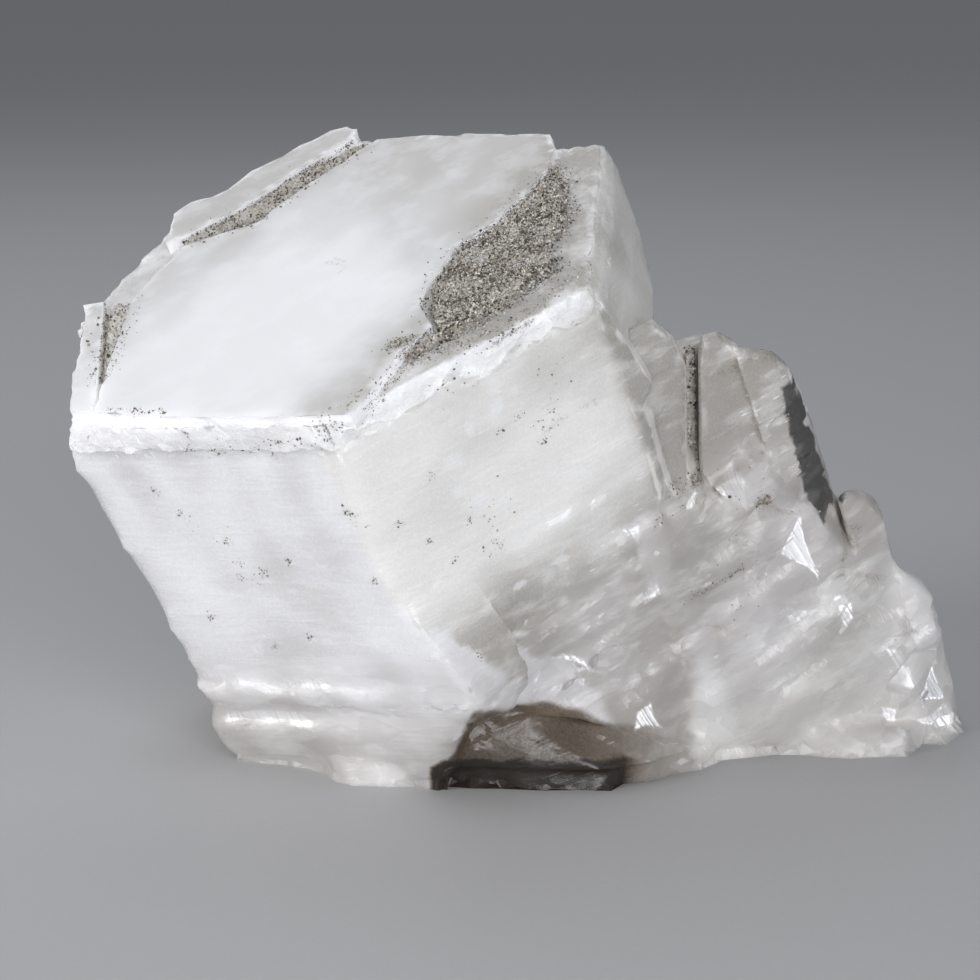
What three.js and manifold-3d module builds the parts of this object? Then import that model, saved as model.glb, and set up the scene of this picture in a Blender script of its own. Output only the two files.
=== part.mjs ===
// A calcite specimen: crystals grown side by side with one common long axis, so that every flat face
// of one is parallel to the same face of its neighbours. The biggest is a six-sided tabular prism with
// a broad flat end. To its right slimmer columns step down to the ground, and below them the mass is
// broken along ledges that run parallel to the flat ends. A thin drusy crust lies on the end face.
// Millimetres, +Z up, the specimen stands on its flat rest face at z = 0.
import * as THREE from 'three';
import { ConvexGeometry } from 'three/addons/geometries/ConvexGeometry.js';
import { mergeVertices } from 'three/addons/utils/BufferGeometryUtils.js';
import Module from 'manifold-3d';

// Driving dimensions.
const END_CENTRE = [-22.8, 6.3, 70.7]; // middle of the broad end face, before the origin is centred
const AXIS_TILT = 25.2; // degrees that the common long axis leans from upright
const AXIS_HEADING = -134.8; // the side it leans to, degrees from +X toward +Y
const AXIS_TURN = 104.9; // turn of the faces about the long axis, degrees
const GROUND_DEPTH = 140; // how far the shapes run on before the rest face cuts them

// Faces of the crystals: the way each kind of face looks about the long axis, in degrees.
const LEFT = 213;
const FRONT = 270;
const FRONT_RIGHT = 323.6;
const WEDGE = 317.9; // the broken side below the columns
const RIGHT = 25.6;
const BACK = 80;
const BACK_LEFT = 144;
const FAR_LEFT = 180;

// How far the sides of the biggest crystal, and the broken wedge, stand from the long axis.
const DISTANCE = {
  [LEFT]: 41,
  [FRONT]: 36,
  [FRONT_RIGHT]: 34.2,
  [WEDGE]: 33.3,
  [RIGHT]: 34.4,
  [BACK]: 37.5,
  [BACK_LEFT]: 45.9,
  [FAR_LEFT]: 43,
};
const LEFT_FLARE = -0.04; // the left side draws in a little toward the ground

// Levels along the long axis, measured from the end face and negative below it.
const CRUST_LEVEL = -1.5; // ledge round the end plate, where the druse sits
const LEDGE_RISE = 0.5; // height of the riser at a ledge
const FOOTING_HEIGHT = 3.3; // thickness of the lowest layer
const BREAK_PLACE = 59; // how far back the specimen reaches before the break that ends it
const CRUST_GAP = 0.3; // clearance between a crust and the calcite under it
const CRUST_THICKNESS = 0.9;
const CRUST_CELL = 2.2; // spacing of the bumps in a crust
const BLADE_TAPER = 0.08; // how much a column narrows per millimetre toward its back
const CLEAVAGE_EDGE_FACING = 30; // way that one edge of a cleavage rhomb runs about the axis, degrees
const CLEAVAGE_EDGE_SLOPE = 26.3; // its rise out of the level of the end face, degrees

const wasm = await Module();
wasm.setup();

const axisFrame = new THREE.Matrix4()
  .makeRotationZ(THREE.MathUtils.degToRad(AXIS_HEADING))
  .multiply(new THREE.Matrix4().makeRotationY(THREE.MathUtils.degToRad(AXIS_TILT)))
  .multiply(new THREE.Matrix4().makeRotationZ(THREE.MathUtils.degToRad(AXIS_TURN)))
  .setPosition(...END_CENTRE);

// A closed geometry as a solid that can be joined and cut.
function solidOf(geometry) {
  const bare = geometry.clone();
  bare.deleteAttribute('normal');
  bare.deleteAttribute('uv');
  const merged = mergeVertices(bare, 1e-4);
  return new wasm.Manifold(new wasm.Mesh({
    numProp: 3,
    vertProperties: new Float32Array(merged.attributes.position.array),
    triVerts: new Uint32Array(merged.index.array),
  }));
}

function geometryOf(solid) {
  const { vertProperties, triVerts } = solid.getMesh();
  const geometry = new THREE.BufferGeometry();
  geometry.setAttribute('position', new THREE.BufferAttribute(vertProperties, 3));
  geometry.setIndex(new THREE.BufferAttribute(triVerts, 1));
  return geometry;
}

// A face of a crystal: the way it looks, its distance from the axis at the end face's level, and how
// many millimetres it draws outward for each millimetre down.
function face(facing, distance, flare = 0) {
  return { facing: THREE.MathUtils.degToRad(facing), distance, flare };
}

// Where two faces meet at a level.
function corner(first, second, level) {
  const a = first.distance - first.flare * level;
  const b = second.distance - second.flare * level;
  const spread = Math.sin(second.facing - first.facing);
  const s = (a * Math.sin(second.facing) - b * Math.sin(first.facing)) / spread;
  const t = (b * Math.cos(first.facing) - a * Math.cos(second.facing)) / spread;
  return [s, t];
}

// A convex crystal between its faces and two levels.
function crystal(faces, top, bottom) {
  const points = [];
  faces.forEach((here, i) => {
    const next = faces[(i + 1) % faces.length];
    points.push(new THREE.Vector3(...corner(here, next, top), top));
    points.push(new THREE.Vector3(...corner(here, next, bottom), bottom));
  });
  return solidOf(new ConvexGeometry(points).applyMatrix4(axisFrame));
}

// A slab parallel to the end face with any outline.
function slab(outline, top, bottom) {
  const shape = new THREE.Shape(outline.map(([s, t]) => new THREE.Vector2(s, t)));
  const plate = new THREE.ExtrudeGeometry(shape, { depth: top - bottom, bevelEnabled: false });
  return solidOf(plate.translate(0, 0, bottom).applyMatrix4(axisFrame));
}

const join = (solids) => solids.reduce((sum, solid) => sum.add(solid));

// Smooth unevenness from -1 to 1 over two directions, different for each seed.
function unevenness(x, y, seed) {
  const slow = Math.sin(0.21 * x + 2.1 * seed) * Math.cos(0.27 * y - 1.3 * seed);
  const quick = Math.sin(0.53 * x - 0.35 * y + 4.7 * seed) * Math.cos(0.19 * x + 0.61 * y + seed);
  return 0.55 * slow + 0.45 * quick;
}

// A point on a crystal's side: `along` runs round it, `out` is the distance from the long axis.
function sidePoint(facing, along, out, level) {
  const angle = THREE.MathUtils.degToRad(facing);
  return new THREE.Vector3(
    Math.cos(angle) * out - Math.sin(angle) * along,
    Math.sin(angle) * out + Math.cos(angle) * along,
    level,
  );
}

// A crystal side with broken ledges. Each row is a wavy line at a level where the side stands `out`
// millimetres from the crystal's own plane. A ledge is a row with a step: the side stands `above` just
// over the line, and the step shows from one place along the side to another.
function ledgedSide({ facing, left, right, columns, rows, swell, depth, splay = 5, seed }) {
  const lines = rows.flatMap((row) => ('above' in row
    ? [{ ...row, out: row.above, level: row.level + LEDGE_RISE }, row]
    : [row]));
  const distance = DISTANCE[facing];
  const sheet = new THREE.BoxGeometry(1, 1, 1, columns, lines.length - 1, 1);
  const position = sheet.attributes.position;
  for (let i = 0; i < position.count; i += 1) {
    const row = lines[Math.round((0.5 - position.getY(i)) * (lines.length - 1))];
    const share = position.getX(i) + 0.5;
    const along = left(row.level) + (right(row.level) - left(row.level)) * share;
    const level = row.level + (row.wave ?? 0) * unevenness(2.3 * along, 9 * seed, row.level);
    const shows = THREE.MathUtils.smoothstep(along, (row.from ?? -99) - 3, row.from ?? -99)
      * THREE.MathUtils.smoothstep(-along, -(row.to ?? 99) - 3, -(row.to ?? 99));
    const step = 'above' in row ? row.above + (row.out - row.above) * shows : row.out;
    const front = distance + step + swell(along, level) * unevenness(along, level, seed);
    const isFront = position.getZ(i) > 0;
    const inner = along + splay * (2 * share - 1);
    const point = sidePoint(facing, isFront ? along : inner, isFront ? front : distance - depth, level);
    position.setXYZ(i, ...point);
  }
  return solidOf(sheet.applyMatrix4(axisFrame));
}

// Straight stretches through [level, value] pairs, from the highest level down.
function profile(pairs) {
  return (level) => {
    const next = pairs.findIndex(([stop]) => stop <= level);
    if (next === 0) return pairs[0][1];
    if (next < 0) return pairs.at(-1)[1];
    const [[high, before], [low, after]] = [pairs[next - 1], pairs[next]];
    return after + ((before - after) * (level - low)) / (high - low);
  };
}

function hull(points) {
  return solidOf(new ConvexGeometry(points.map((point) => new THREE.Vector3(...point))));
}

function hullOnAxis(points) {
  const geometry = new ConvexGeometry(points.map((point) => new THREE.Vector3(...point)));
  return solidOf(geometry.applyMatrix4(axisFrame));
}

// The biggest crystal, from the druse level down to the ground.
function mainCrystal() {
  const facings = [LEFT, FRONT, FRONT_RIGHT, RIGHT, BACK, BACK_LEFT, FAR_LEFT];
  const faces = facings.map((facing) => face(facing, DISTANCE[facing], facing === LEFT ? LEFT_FLARE : 0));
  return crystal(faces, CRUST_LEVEL, -GROUND_DEPTH);
}

// The right side of the end tablet: its satin face spreads outward, then breaks back in below.
function rightTablet() {
  return hullOnAxis([
    [22.6, 36.2, CRUST_LEVEL], [39.2, -3, CRUST_LEVEL], [0, 33, CRUST_LEVEL], [0, -20, CRUST_LEVEL],
    [20.7, 40.2, -4.6], [20.4, 42, -9], [24.5, 36, -15], [29, 28, -20.5], [33, 18.8, -21.5],
    [39.8, -3.8, -10], [41, -2.2, -15.9], [42.1, -0.6, -19.4], [40.3, -3, -22.7],
    [15, 30, -24], [30, 10, -30], [30, -12, -30],
  ]);
}

// The smooth plate on the end face, standing a little proud of the druse.
function endPlate() {
  const outline = [
    [-22.9, -35], [-26, -28.2], [-35.4, -5.4], [-35.7, 5.2], [-35.4, 9.7], [-25.8, 15.8],
    [-22.6, 27], [-17.5, 39.5], [-9.5, 39.8], [-4.1, 39.6], [14, 37.6], [17, 32.5], [19, 25.9],
    [17.5, 14], [14.2, 6.2], [15.6, -5.8], [16.5, -9.7], [21.3, -15], [19.8, -21.6],
    [20.4, -36.5], [-1.8, -36.9],
  ];
  return slab(outline, 0, CRUST_LEVEL - 1);
}

// Raised rims at the left and back left of the end face.
function rims() {
  const leftRim = [
    [-43.4, -6.7], [-41.3, -9.2], [-38.2, -15], [-34.8, -21], [-33, -25.2], [-27.2, -34.6],
    [-22.9, -35], [-26.5, -28.2], [-40, -6],
  ];
  const backRim = [
    [-38.9, 10.2], [-37.7, 11.6], [-30.8, 21.3], [-27.2, 30.8], [-22.4, 41.2], [-23, 43],
    [-25.3, 43.8], [-27.7, 42.8], [-32.1, 37.6], [-35.8, 31.2], [-38.2, 24.8], [-41.8, 22.6],
    [-43.2, 19.3],
  ];
  return join([slab(leftRim, 0.2, CRUST_LEVEL - 1), slab(backRim, 0.2, CRUST_LEVEL - 1)]);
}

// The front of the biggest crystal: a rough band under the plate, a smooth face and low ledges.
function frontSide() {
  return ledgedSide({
    facing: FRONT,
    left: profile([[-2, -26.5], [-4, -27.5], [-8, -29.2], [-14, -29.6], [-24, -28.2], [-31, -26.2],
      [-38, -25.4], [-44, -23.2], [-47, -24.3], [-49.5, -22], [-52, -23.5], [-56, -23.6],
      [-58, -22.6], [-59, -19], [-60.2, -13], [-61.5, -8.5]]),
    right: profile([[-30, 16.1], [-47, 22], [-51, 20.5], [-59, 10.5]]),
    columns: 18,
    rows: [
      { level: CRUST_LEVEL, out: 0.9 },
      { level: -5.6, above: 1.1, out: 0, wave: 0.9 },
      { level: -9, out: 0.1 },
      { level: -14, out: 0.1 },
      { level: -25, above: 0, out: 0.5, wave: 0.4, from: -30, to: -17 },
      { level: -31, above: 0.1, out: 0.6, wave: 0.5, from: -30, to: -12 },
      { level: -37.6, above: 0.1, out: 0.7, wave: 0.5, from: -8, to: 16 },
      { level: -41, out: 0.3 },
      { level: -45.6, above: 0.4, out: 1.7, wave: 1.4, to: 12 },
      { level: -49.4, above: 1.2, out: 0.7, wave: 0.3 },
      { level: -51.7, above: 0.7, out: 2, wave: 0.4, to: 3 },
      { level: -55, out: 1.7 },
      { level: -58.2, above: 1.3, out: 0.5, wave: 0.8, from: -16, to: 6 },
      { level: -66, out: 0.5 },
    ],
    swell: (along, level) => (level > -8 ? 0.5 : 0.22),
    depth: 9,
    seed: 3,
  });
}

// The side to the right of it: smooth at the top left, streaky and scalloped toward the lower right.
function frontRightSide() {
  return ledgedSide({
    facing: FRONT_RIGHT,
    left: () => -20,
    right: profile([[-4, 20], [-10, 21.2], [-22, 22.5], [-60, 22]]),
    columns: 18,
    rows: [
      { level: CRUST_LEVEL, out: 0.5 },
      { level: -5, above: 0.9, out: -0.1, wave: 2.4 },
      { level: -14, out: 0 },
      { level: -24, above: -0.1, out: 0.3, wave: 0.7, from: 10, to: 24 },
      { level: -31, above: 0.1, out: 0.5, wave: 1, from: 1, to: 17 },
      { level: -38, above: 0, out: 0.7, wave: 1, from: 6, to: 24 },
      { level: -44, above: -0.1, out: 0.8, wave: 1.2, from: -3, to: 15 },
      { level: -48.5, above: -0.2, out: 0.8, wave: 1, from: 5, to: 24 },
      { level: -54, above: -0.1, out: 0.7, wave: 1.2, from: -6, to: 12 },
      { level: -60, above: -0.1, out: 0.5, wave: 0.8 },
      { level: -78, out: 0 },
    ],
    swell: (along, level) => 0.15 + 0.5 * THREE.MathUtils.smoothstep(along - 0.8 * level, 8, 48),
    depth: 9,
    seed: 5,
  });
}

// The sides away from the front, each with a few growth ledges.
function farSides() {
  const sides = [
    { facing: LEFT, flare: LEFT_FLARE, left: -12, right: 13, seed: 11 },
    { facing: FAR_LEFT, flare: 0, left: -18, right: 10.5, seed: 12 },
    { facing: BACK_LEFT, flare: 0, left: -18.6, right: 8, seed: 13 },
    { facing: BACK, flare: 0, left: -14, right: 32, seed: 14 },
  ];
  return join(sides.map(({ facing, flare, left, right, seed }) => ledgedSide({
    facing,
    left: () => left,
    right: () => right,
    columns: 7,
    rows: [CRUST_LEVEL, -9, -20, -33, -47, -60, -74, -90].map((level, i) => {
      const out = 0.2 - flare * level;
      return i === 0
        ? { level: level - 0.5, out: out - 0.2 }
        : { level: level - 3 * (seed % 3), above: out, out: out + 0.9, wave: 1.5, from: left + 5 * (i % 3) };
    }),
    swell: (along, level) => (level > -3 ? 0.1 : 0.4),
    depth: 12,
    splay: 0,
    seed,
  })));
}

// Rounded swelling low on the edge between the two front sides.
function edgeSwelling() {
  return hullOnAxis([
    [15.7, -36, -29], [23, -36, -47.5], [20.5, -36.8, -51], [11.5, -36.5, -58.5],
    [25, -29, -47], [23.5, -30, -54], [17, -33, -60], [20, -31.5, -36], [10, -30, -60],
    [8, -34, -40], [10, -25, -50],
  ]);
}

// The crevice between the first columns: how far to the right its walls stand at a level, how much
// they draw left for each millimetre down, how far to the front right its floor is, and its crust.
const CREVICE = {
  left: 42.2,
  right: 44.5,
  level: -20,
  slant: 0.27,
  floor: 28,
  bottom: -36.2,
  clearance: 0.6,
};

function creviceWall(right, level) {
  return right + CREVICE.slant * (level - CREVICE.level);
}

// A point by its distance toward the front right and toward the right.
function bladePoint(front, right, level) {
  return [...corner(face(FRONT_RIGHT, front), face(RIGHT, right), 0), level];
}

// The slim crystals to the right, each a blade with a rounded end. Its top is a row of
// [distance to the right, level] points on the front; `foot` is its left and right far down.
function columns() {
  const leftWall = creviceWall(CREVICE.left, -GROUND_DEPTH);
  const rightWall = creviceWall(CREVICE.right, -GROUND_DEPTH);
  const blades = [
    {
      front: 31.5, thick: 8, foot: [0, leftWall],
      top: [[31, -12], [40, -12], [41.6, -15], [CREVICE.left, -20]],
    },
    { front: CREVICE.floor, thick: 9, foot: [0, 47], top: [[40, -18.6], [45, -19.4], [47, -21]] },
    {
      front: 33, thick: 8, foot: [rightWall, 50],
      top: [[CREVICE.right, -19], [45.6, -17], [47.6, -17.6], [49.4, -20], [49.7, -23]],
    },
    {
      front: 34.5, thick: 11, foot: [49.2, 56],
      top: [[49.2, -20.2], [53.8, -23], [55.4, -26.5], [56, -31]],
    },
    {
      front: 36.5, thick: 9, foot: [56.6, 61],
      top: [[56.6, -48.2], [58.7, -48], [60.7, -49.3], [61.8, -52]],
    },
    {
      front: 38, thick: 9, foot: [61.5, 60],
      top: [[61.5, -63.7], [64, -65], [65.2, -68.1], [65.3, -80]],
    },
  ];
  return join(blades.map(({ front, thick, foot, top }) => {
    const points = [];
    const place = (right, depth, level) => points.push(
      bladePoint(front - depth, right - BLADE_TAPER * depth, level),
    );
    top.forEach(([right, level]) => {
      place(right, 0, level - 1.2);
      place(right, 1.8, level - 0.8);
      place(right, thick, level - 0.75 * thick);
    });
    foot.forEach((right) => {
      place(right, 0, -GROUND_DEPTH);
      place(right, thick, -GROUND_DEPTH);
    });
    return hullOnAxis(points);
  }));
}

// Joints across the fourth column, shallow grooves round its front.
function columnJoints() {
  return join([-33.5, -37.6, -41.8, -46.5].map((level) => crystal([
    face(FRONT_RIGHT, 36),
    face(RIGHT, 57),
    face(FRONT_RIGHT + 180, -33.9),
    face(RIGHT + 180, -50),
  ], level, level - 0.5)));
}

// The mass behind the columns, stepped down to the right.
function rightBody() {
  const steps = [
    { right: 46, front: 27.6, back: 36, top: -36 },
    { right: 54, front: 30, back: 38, top: -50 },
    { right: 60, front: 33, back: 41, top: -68 },
    { right: 63, front: 36, back: 43, top: -84 },
  ];
  return join(steps.map(({ right, front, back, top }) => crystal([
    face(FRONT_RIGHT, front),
    face(RIGHT, right, -0.03),
    face(BACK, back),
    face(RIGHT + 180, 0),
  ], top, -GROUND_DEPTH)));
}

// The broken wedge below the columns, with ledges parallel to the end face.
function brokenWedge() {
  const reach = profile([[-33, 47.5], [-37, 48.5], [-41, 49], [-46, 53], [-50, 54], [-56, 55.5],
    [-61, 56.5], [-67, 59], [-73, 60.5], [-80, 61.5], [-88, 62.5], [-94, 63.5]]);
  const alongAt = (right) => {
    const [s, t] = corner(face(WEDGE, DISTANCE[WEDGE]), face(RIGHT, right), 0);
    const angle = THREE.MathUtils.degToRad(WEDGE);
    return t * Math.cos(angle) - s * Math.sin(angle);
  };
  return ledgedSide({
    facing: WEDGE,
    left: () => alongAt(30),
    right: (level) => alongAt(reach(level)),
    columns: 18,
    rows: [
      { level: -37.8, out: -0.6, wave: 0.7 },
      { level: -39.4, out: 0.3, wave: 0.5 },
      { level: -43, above: 0.1, out: 0.6, wave: 1.1, from: 20, to: 34 },
      { level: -49, above: 0, out: 0.5, wave: 1.4, from: 24, to: 46 },
      { level: -54, above: 0.1, out: 0.5, wave: 1.4, from: 12, to: 33 },
      { level: -64, above: -0.1, out: 0.5, wave: 1.6, from: 12, to: 40 },
      { level: -74, above: -0.2, out: 0.4, wave: 1.4, from: 26, to: 56 },
      { level: -85, above: 0, out: 0.5, wave: 1.2, from: 36, to: 60 },
      { level: -110, out: 0 },
    ],
    swell: () => 0.5,
    depth: 9,
    seed: 8,
  });
}

// The three edges of a cleavage rhomb that rise from its lower corner.
const cleavageEdges = [0, 120, 240].map((turn) => {
  const angle = THREE.MathUtils.degToRad(CLEAVAGE_EDGE_FACING + turn);
  const slope = THREE.MathUtils.degToRad(CLEAVAGE_EDGE_SLOPE);
  return new THREE.Vector3(Math.cos(angle), Math.sin(angle), Math.tan(slope)).normalize();
});

// A rhomb between calcite's three cleavage directions, standing on its lower corner. Cut away, it
// leaves a notch with flat facets.
function cleavageRhomb(lowerCorner, size) {
  const points = [];
  for (let i = 0; i < 8; i += 1) {
    const point = lowerCorner.clone();
    cleavageEdges.forEach((edge, bit) => {
      if ((i >> bit) % 2) point.addScaledVector(edge, size);
    });
    points.push([point.x, point.y, point.z]);
  }
  return hullOnAxis(points);
}

// Where splinters broke off: [way it looks, along, depth below that side's plane, level, size].
function cleavageNotches() {
  const notches = [
    [WEDGE, 27.5, 0.9, -43, 6], [WEDGE, 36.5, 0.9, -52, 7], [WEDGE, 23, 0.7, -63, 5],
    [WEDGE, 45, 0.7, -66, 6], [WEDGE, 52, 0.9, -86, 7], [WEDGE, 55.5, 0.9, -91, 6],
    [FRONT_RIGHT, -2, 0.7, -57, 5], [FRONT_RIGHT, 6, 0.6, -58, 4],
  ];
  return join(notches.map(([facing, along, depth, level, size]) => (
    cleavageRhomb(sidePoint(facing, along, DISTANCE[facing] - depth, level), size)
  )));
}

// The lowest layer, level with the ground: it spreads a little in front of the wedge, and its
// upper edge draws in.
function footing() {
  const outline = [
    [-31.4, 1.4], [-27.1, -1.5], [-25.4, -5.4], [-22.9, -7.7], [-17, -8.3], [-10.9, -7.7], [-6, -8.9],
    [-1.8, -9.1], [4, -9.9], [9, -9.7], [13.5, -10.1], [15.3, -6.8], [19.3, -5.8], [22.6, -2.5],
    [26.7, 0], [29.1, 3.4], [32.8, 8.4], [37, 7.6], [41.7, 7.4], [45, 6.1], [48.7, 5.4], [53, 6.3],
    [56.8, 6.4], [60.1, 13], [63.4, 12.5], [66, 17.7], [58, 30], [30, 40], [-10, 45], [-36, 30],
  ];
  const shape = new THREE.Shape(outline.map(([x, y]) => new THREE.Vector2(x, y)));
  const layer = new THREE.ExtrudeGeometry(shape, { depth: FOOTING_HEIGHT, bevelEnabled: false });
  const position = layer.attributes.position;
  for (let i = 0; i < position.count; i += 1) {
    if (position.getZ(i) > 0 && position.getY(i) < 15) {
      position.setY(i, position.getY(i) + 1 + 0.7 * Math.sin(1.1 * position.getX(i)));
    }
  }
  return solidOf(layer);
}

// What rises from the footing to the broken underside of the front right side. It overhangs the
// footing by about a millimetre.
function toe() {
  const lip = FOOTING_HEIGHT - 0.3;
  return hull([
    [-11, -8.6, lip], [0, -10.2, lip], [13, -11, lip], [19, -7, lip], [27, -0.5, lip], [30, 5, lip],
    [-9, -9.4, 8], [1, -8.4, 11], [12, -2.4, 8], [18, 0.6, 4.5], [-12, 5, lip], [10, 12, 9], [20, 12, lip],
  ]);
}

// The hollow under the front right side.
function undercut() {
  return hull([
    [-5, -30, 13.2], [2, -30, 12], [12, -30, 8], [18.5, -30, 4.2],
    [-5, -10.6, 13.2], [2, -8.4, 12], [12, -2.2, 8], [18.5, 1, 4.2],
    [-11, -30, -5], [18.5, -30, -5], [-11, -6, -5], [0, -8, -5], [18.5, -2, -5],
  ]);
}

// The break across the back, where the specimen came off its matrix: an uneven plane with deeper
// steps along the cleavage. Each step is [x, y, z, size], with the middle of its inner edge.
function backBreak() {
  const [width, height, columnCount, rowCount] = [150, 110, 20, 13];
  const block = new THREE.BoxGeometry(width, 60, height, columnCount, 1, rowCount);
  block.translate(0, 30, 0.4 * height);
  const position = block.attributes.position;
  for (let i = 0; i < position.count; i += 1) {
    const [x, y, z] = [position.getX(i), position.getY(i), position.getZ(i)];
    if (y < 1) {
      const steps = 1.8 * Math.round(1.2 * unevenness(0.7 * x, 0.6 * z, 21));
      position.setY(i, BREAK_PLACE + 0.04 * x + steps + 0.7 * unevenness(1.3 * x, 1.3 * z, 22));
    } else {
      position.setY(i, 120);
    }
  }
  const steps = [
    [-42, 51, 32, 24], [-24, 53, 50, 22], [-14, 54, 14, 30], [4, 55, 38, 24], [-36, 52, 8, 20],
    [16, 56, 17, 22], [30, 57, 30, 18], [-6, 54, 66, 16], [38, 57, 8, 20], [-50, 46, 16, 20],
  ];
  const toAxis = axisFrame.clone().invert();
  return join([solidOf(block), ...steps.map(([x, y, z, size]) => {
    const lowerCorner = new THREE.Vector3(x, y, z).applyMatrix4(toAxis)
      .addScaledVector(cleavageEdges[2], -size)
      .addScaledVector(cleavageEdges[0], -size / 2);
    return cleavageRhomb(lowerCorner, size);
  })]);
}

// A drusy crust: a bumpy sheet within an outline on a ledge parallel to the end face.
function crust(outline, seed) {
  const [floor, top] = [CRUST_LEVEL + CRUST_GAP, CRUST_LEVEL + CRUST_GAP + CRUST_THICKNESS];
  const box = new THREE.Box2().setFromPoints(outline.map(([s, t]) => new THREE.Vector2(s, t)));
  const size = box.getSize(new THREE.Vector2());
  const middle = box.getCenter(new THREE.Vector2());
  const cells = [Math.ceil(size.x / CRUST_CELL), Math.ceil(size.y / CRUST_CELL)];
  const sheet = new THREE.BoxGeometry(size.x + 2, size.y + 2, top - floor, ...cells, 1);
  sheet.translate(middle.x, middle.y, (top + floor) / 2);
  const position = sheet.attributes.position;
  for (let i = 0; i < position.count; i += 1) {
    if (position.getZ(i) > (top + floor) / 2) {
      position.setZ(i, top + 0.28 * unevenness(3.1 * position.getX(i), 3.1 * position.getY(i), seed));
    }
  }
  return solidOf(sheet.applyMatrix4(axisFrame)).intersect(slab(outline, 3, floor - 1));
}

// The crust on the floor of the crevice between the first columns.
function creviceCrust() {
  const rowCount = 9;
  const sheet = new THREE.BoxGeometry(1, 1, 1, 2, rowCount, 1);
  const position = sheet.attributes.position;
  for (let i = 0; i < position.count; i += 1) {
    const [x, y, z] = [position.getX(i), position.getY(i), position.getZ(i)];
    const level = CREVICE.level - 1 + (y - 0.5) * (CREVICE.level - 1 - CREVICE.bottom);
    const left = creviceWall(CREVICE.left, level) + CREVICE.clearance;
    const right = creviceWall(CREVICE.right, level) - CREVICE.clearance;
    const bump = z > 0 ? CRUST_THICKNESS + 0.25 * unevenness(7 * x, 5 * level, 4) : 0;
    const front = CREVICE.floor + CRUST_GAP + bump;
    position.setXYZ(i, ...bladePoint(front, left + (right - left) * (x + 0.5), level));
  }
  return solidOf(sheet.applyMatrix4(axisFrame));
}

function calcite() {
  const ground = new THREE.BoxGeometry(400, 400, 200).translate(0, 0, -100);
  const grown = join([
    mainCrystal(), farSides(), rightTablet(), endPlate(), rims(), frontSide(), frontRightSide(),
    edgeSwelling(), columns(), rightBody(), brokenWedge(),
  ]);
  return grown
    .subtract(join([undercut(), columnJoints(), cleavageNotches()]))
    .add(join([footing(), toe()]))
    .subtract(join([backBreak(), solidOf(ground)]));
}

const calciteMaterial = new THREE.MeshStandardMaterial({
  color: 0xe6e6e4, roughness: 0.25, metalness: 0,
});
const druseMaterial = new THREE.MeshStandardMaterial({
  color: 0x9b938c, roughness: 0.6, metalness: 0.1,
});

const specimen = new THREE.Group();

function addPiece(name, solid, material) {
  const mesh = new THREE.Mesh(geometryOf(solid), material);
  mesh.name = name;
  specimen.add(mesh);
}

addPiece('calcite_crystals', calcite(), calciteMaterial);

// Crusts of tiny crystals on the ledge round the end plate.
addPiece('druse_right', crust([
  [18.8, 29.6], [23.4, 22], [27, 17], [28.6, 10.2], [28.7, 6.2], [32.7, 0.2], [28.8, -9.3],
  [25.6, -15.3], [22.8, -18.9], [21, -22.5], [20.6, -20.5], [22.3, -15], [17.5, -9], [16.2, -5.3],
  [15, 6.2], [18.1, 13.6], [19.6, 26],
], 1), druseMaterial);
addPiece('druse_back', crust([
  [-37, 11.6], [-34.9, 10.9], [-26.5, 16.3], [-23.3, 27.2], [-18.5, 39.2], [-21.6, 40.2],
  [-26.4, 30.5], [-30.1, 20.9],
], 2), druseMaterial);
addPiece('druse_left', crust([
  [-39.3, -5.2], [-36, -5.2], [-30.2, -18.6], [-27, -26.5], [-33.5, -15.8],
], 3), druseMaterial);

addPiece('druse_crevice', creviceCrust(), druseMaterial);

// The origin is on the rest face, under the middle of the specimen.
const middle = new THREE.Box3().setFromObject(specimen).getCenter(new THREE.Vector3());
specimen.position.set(-middle.x, -middle.y, 0);

export default specimen;
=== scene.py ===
"""Calcite specimen: the looks of its crystals and drusy crusts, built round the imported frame.

Lengths are metres in Blender's own units. Places on the crystals are in millimetres along the
crystals' own axes: s and t lie in the broad end face and n is the common long axis.
"""

import math

import bmesh
import bpy
import numpy as np
from bpy.props import FloatProperty, FloatVectorProperty, IntProperty, PointerProperty
from mathutils import Matrix, Vector, bvhtree, kdtree


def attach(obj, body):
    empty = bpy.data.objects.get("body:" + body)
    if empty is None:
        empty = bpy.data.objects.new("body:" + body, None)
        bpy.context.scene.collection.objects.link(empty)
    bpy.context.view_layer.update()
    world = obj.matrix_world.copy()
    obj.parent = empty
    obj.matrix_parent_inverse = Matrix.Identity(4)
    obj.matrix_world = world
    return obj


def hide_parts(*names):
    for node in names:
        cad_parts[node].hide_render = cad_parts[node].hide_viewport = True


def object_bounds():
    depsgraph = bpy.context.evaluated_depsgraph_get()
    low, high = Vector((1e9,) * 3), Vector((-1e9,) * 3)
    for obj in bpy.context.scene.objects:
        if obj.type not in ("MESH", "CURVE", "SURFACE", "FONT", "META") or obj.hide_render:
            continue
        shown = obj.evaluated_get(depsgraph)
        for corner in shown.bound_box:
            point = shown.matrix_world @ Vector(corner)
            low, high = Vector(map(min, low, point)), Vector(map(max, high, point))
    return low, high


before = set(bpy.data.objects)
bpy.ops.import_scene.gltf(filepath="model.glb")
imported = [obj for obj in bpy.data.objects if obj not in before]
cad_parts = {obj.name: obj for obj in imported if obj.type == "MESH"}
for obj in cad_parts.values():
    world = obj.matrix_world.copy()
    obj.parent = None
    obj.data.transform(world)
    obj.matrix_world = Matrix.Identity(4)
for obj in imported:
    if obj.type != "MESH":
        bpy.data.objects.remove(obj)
CAD_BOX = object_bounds()

bl_info = {
    "name": "Calcite specimen",
    "version": (1, 0, 0),
    "blender": (4, 5, 0),
    "location": "3D View > Sidebar > Calcite",
    "description": "Builds a calcite specimen with drusy crusts and its studio stage",
    "category": "Object",
}

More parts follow.
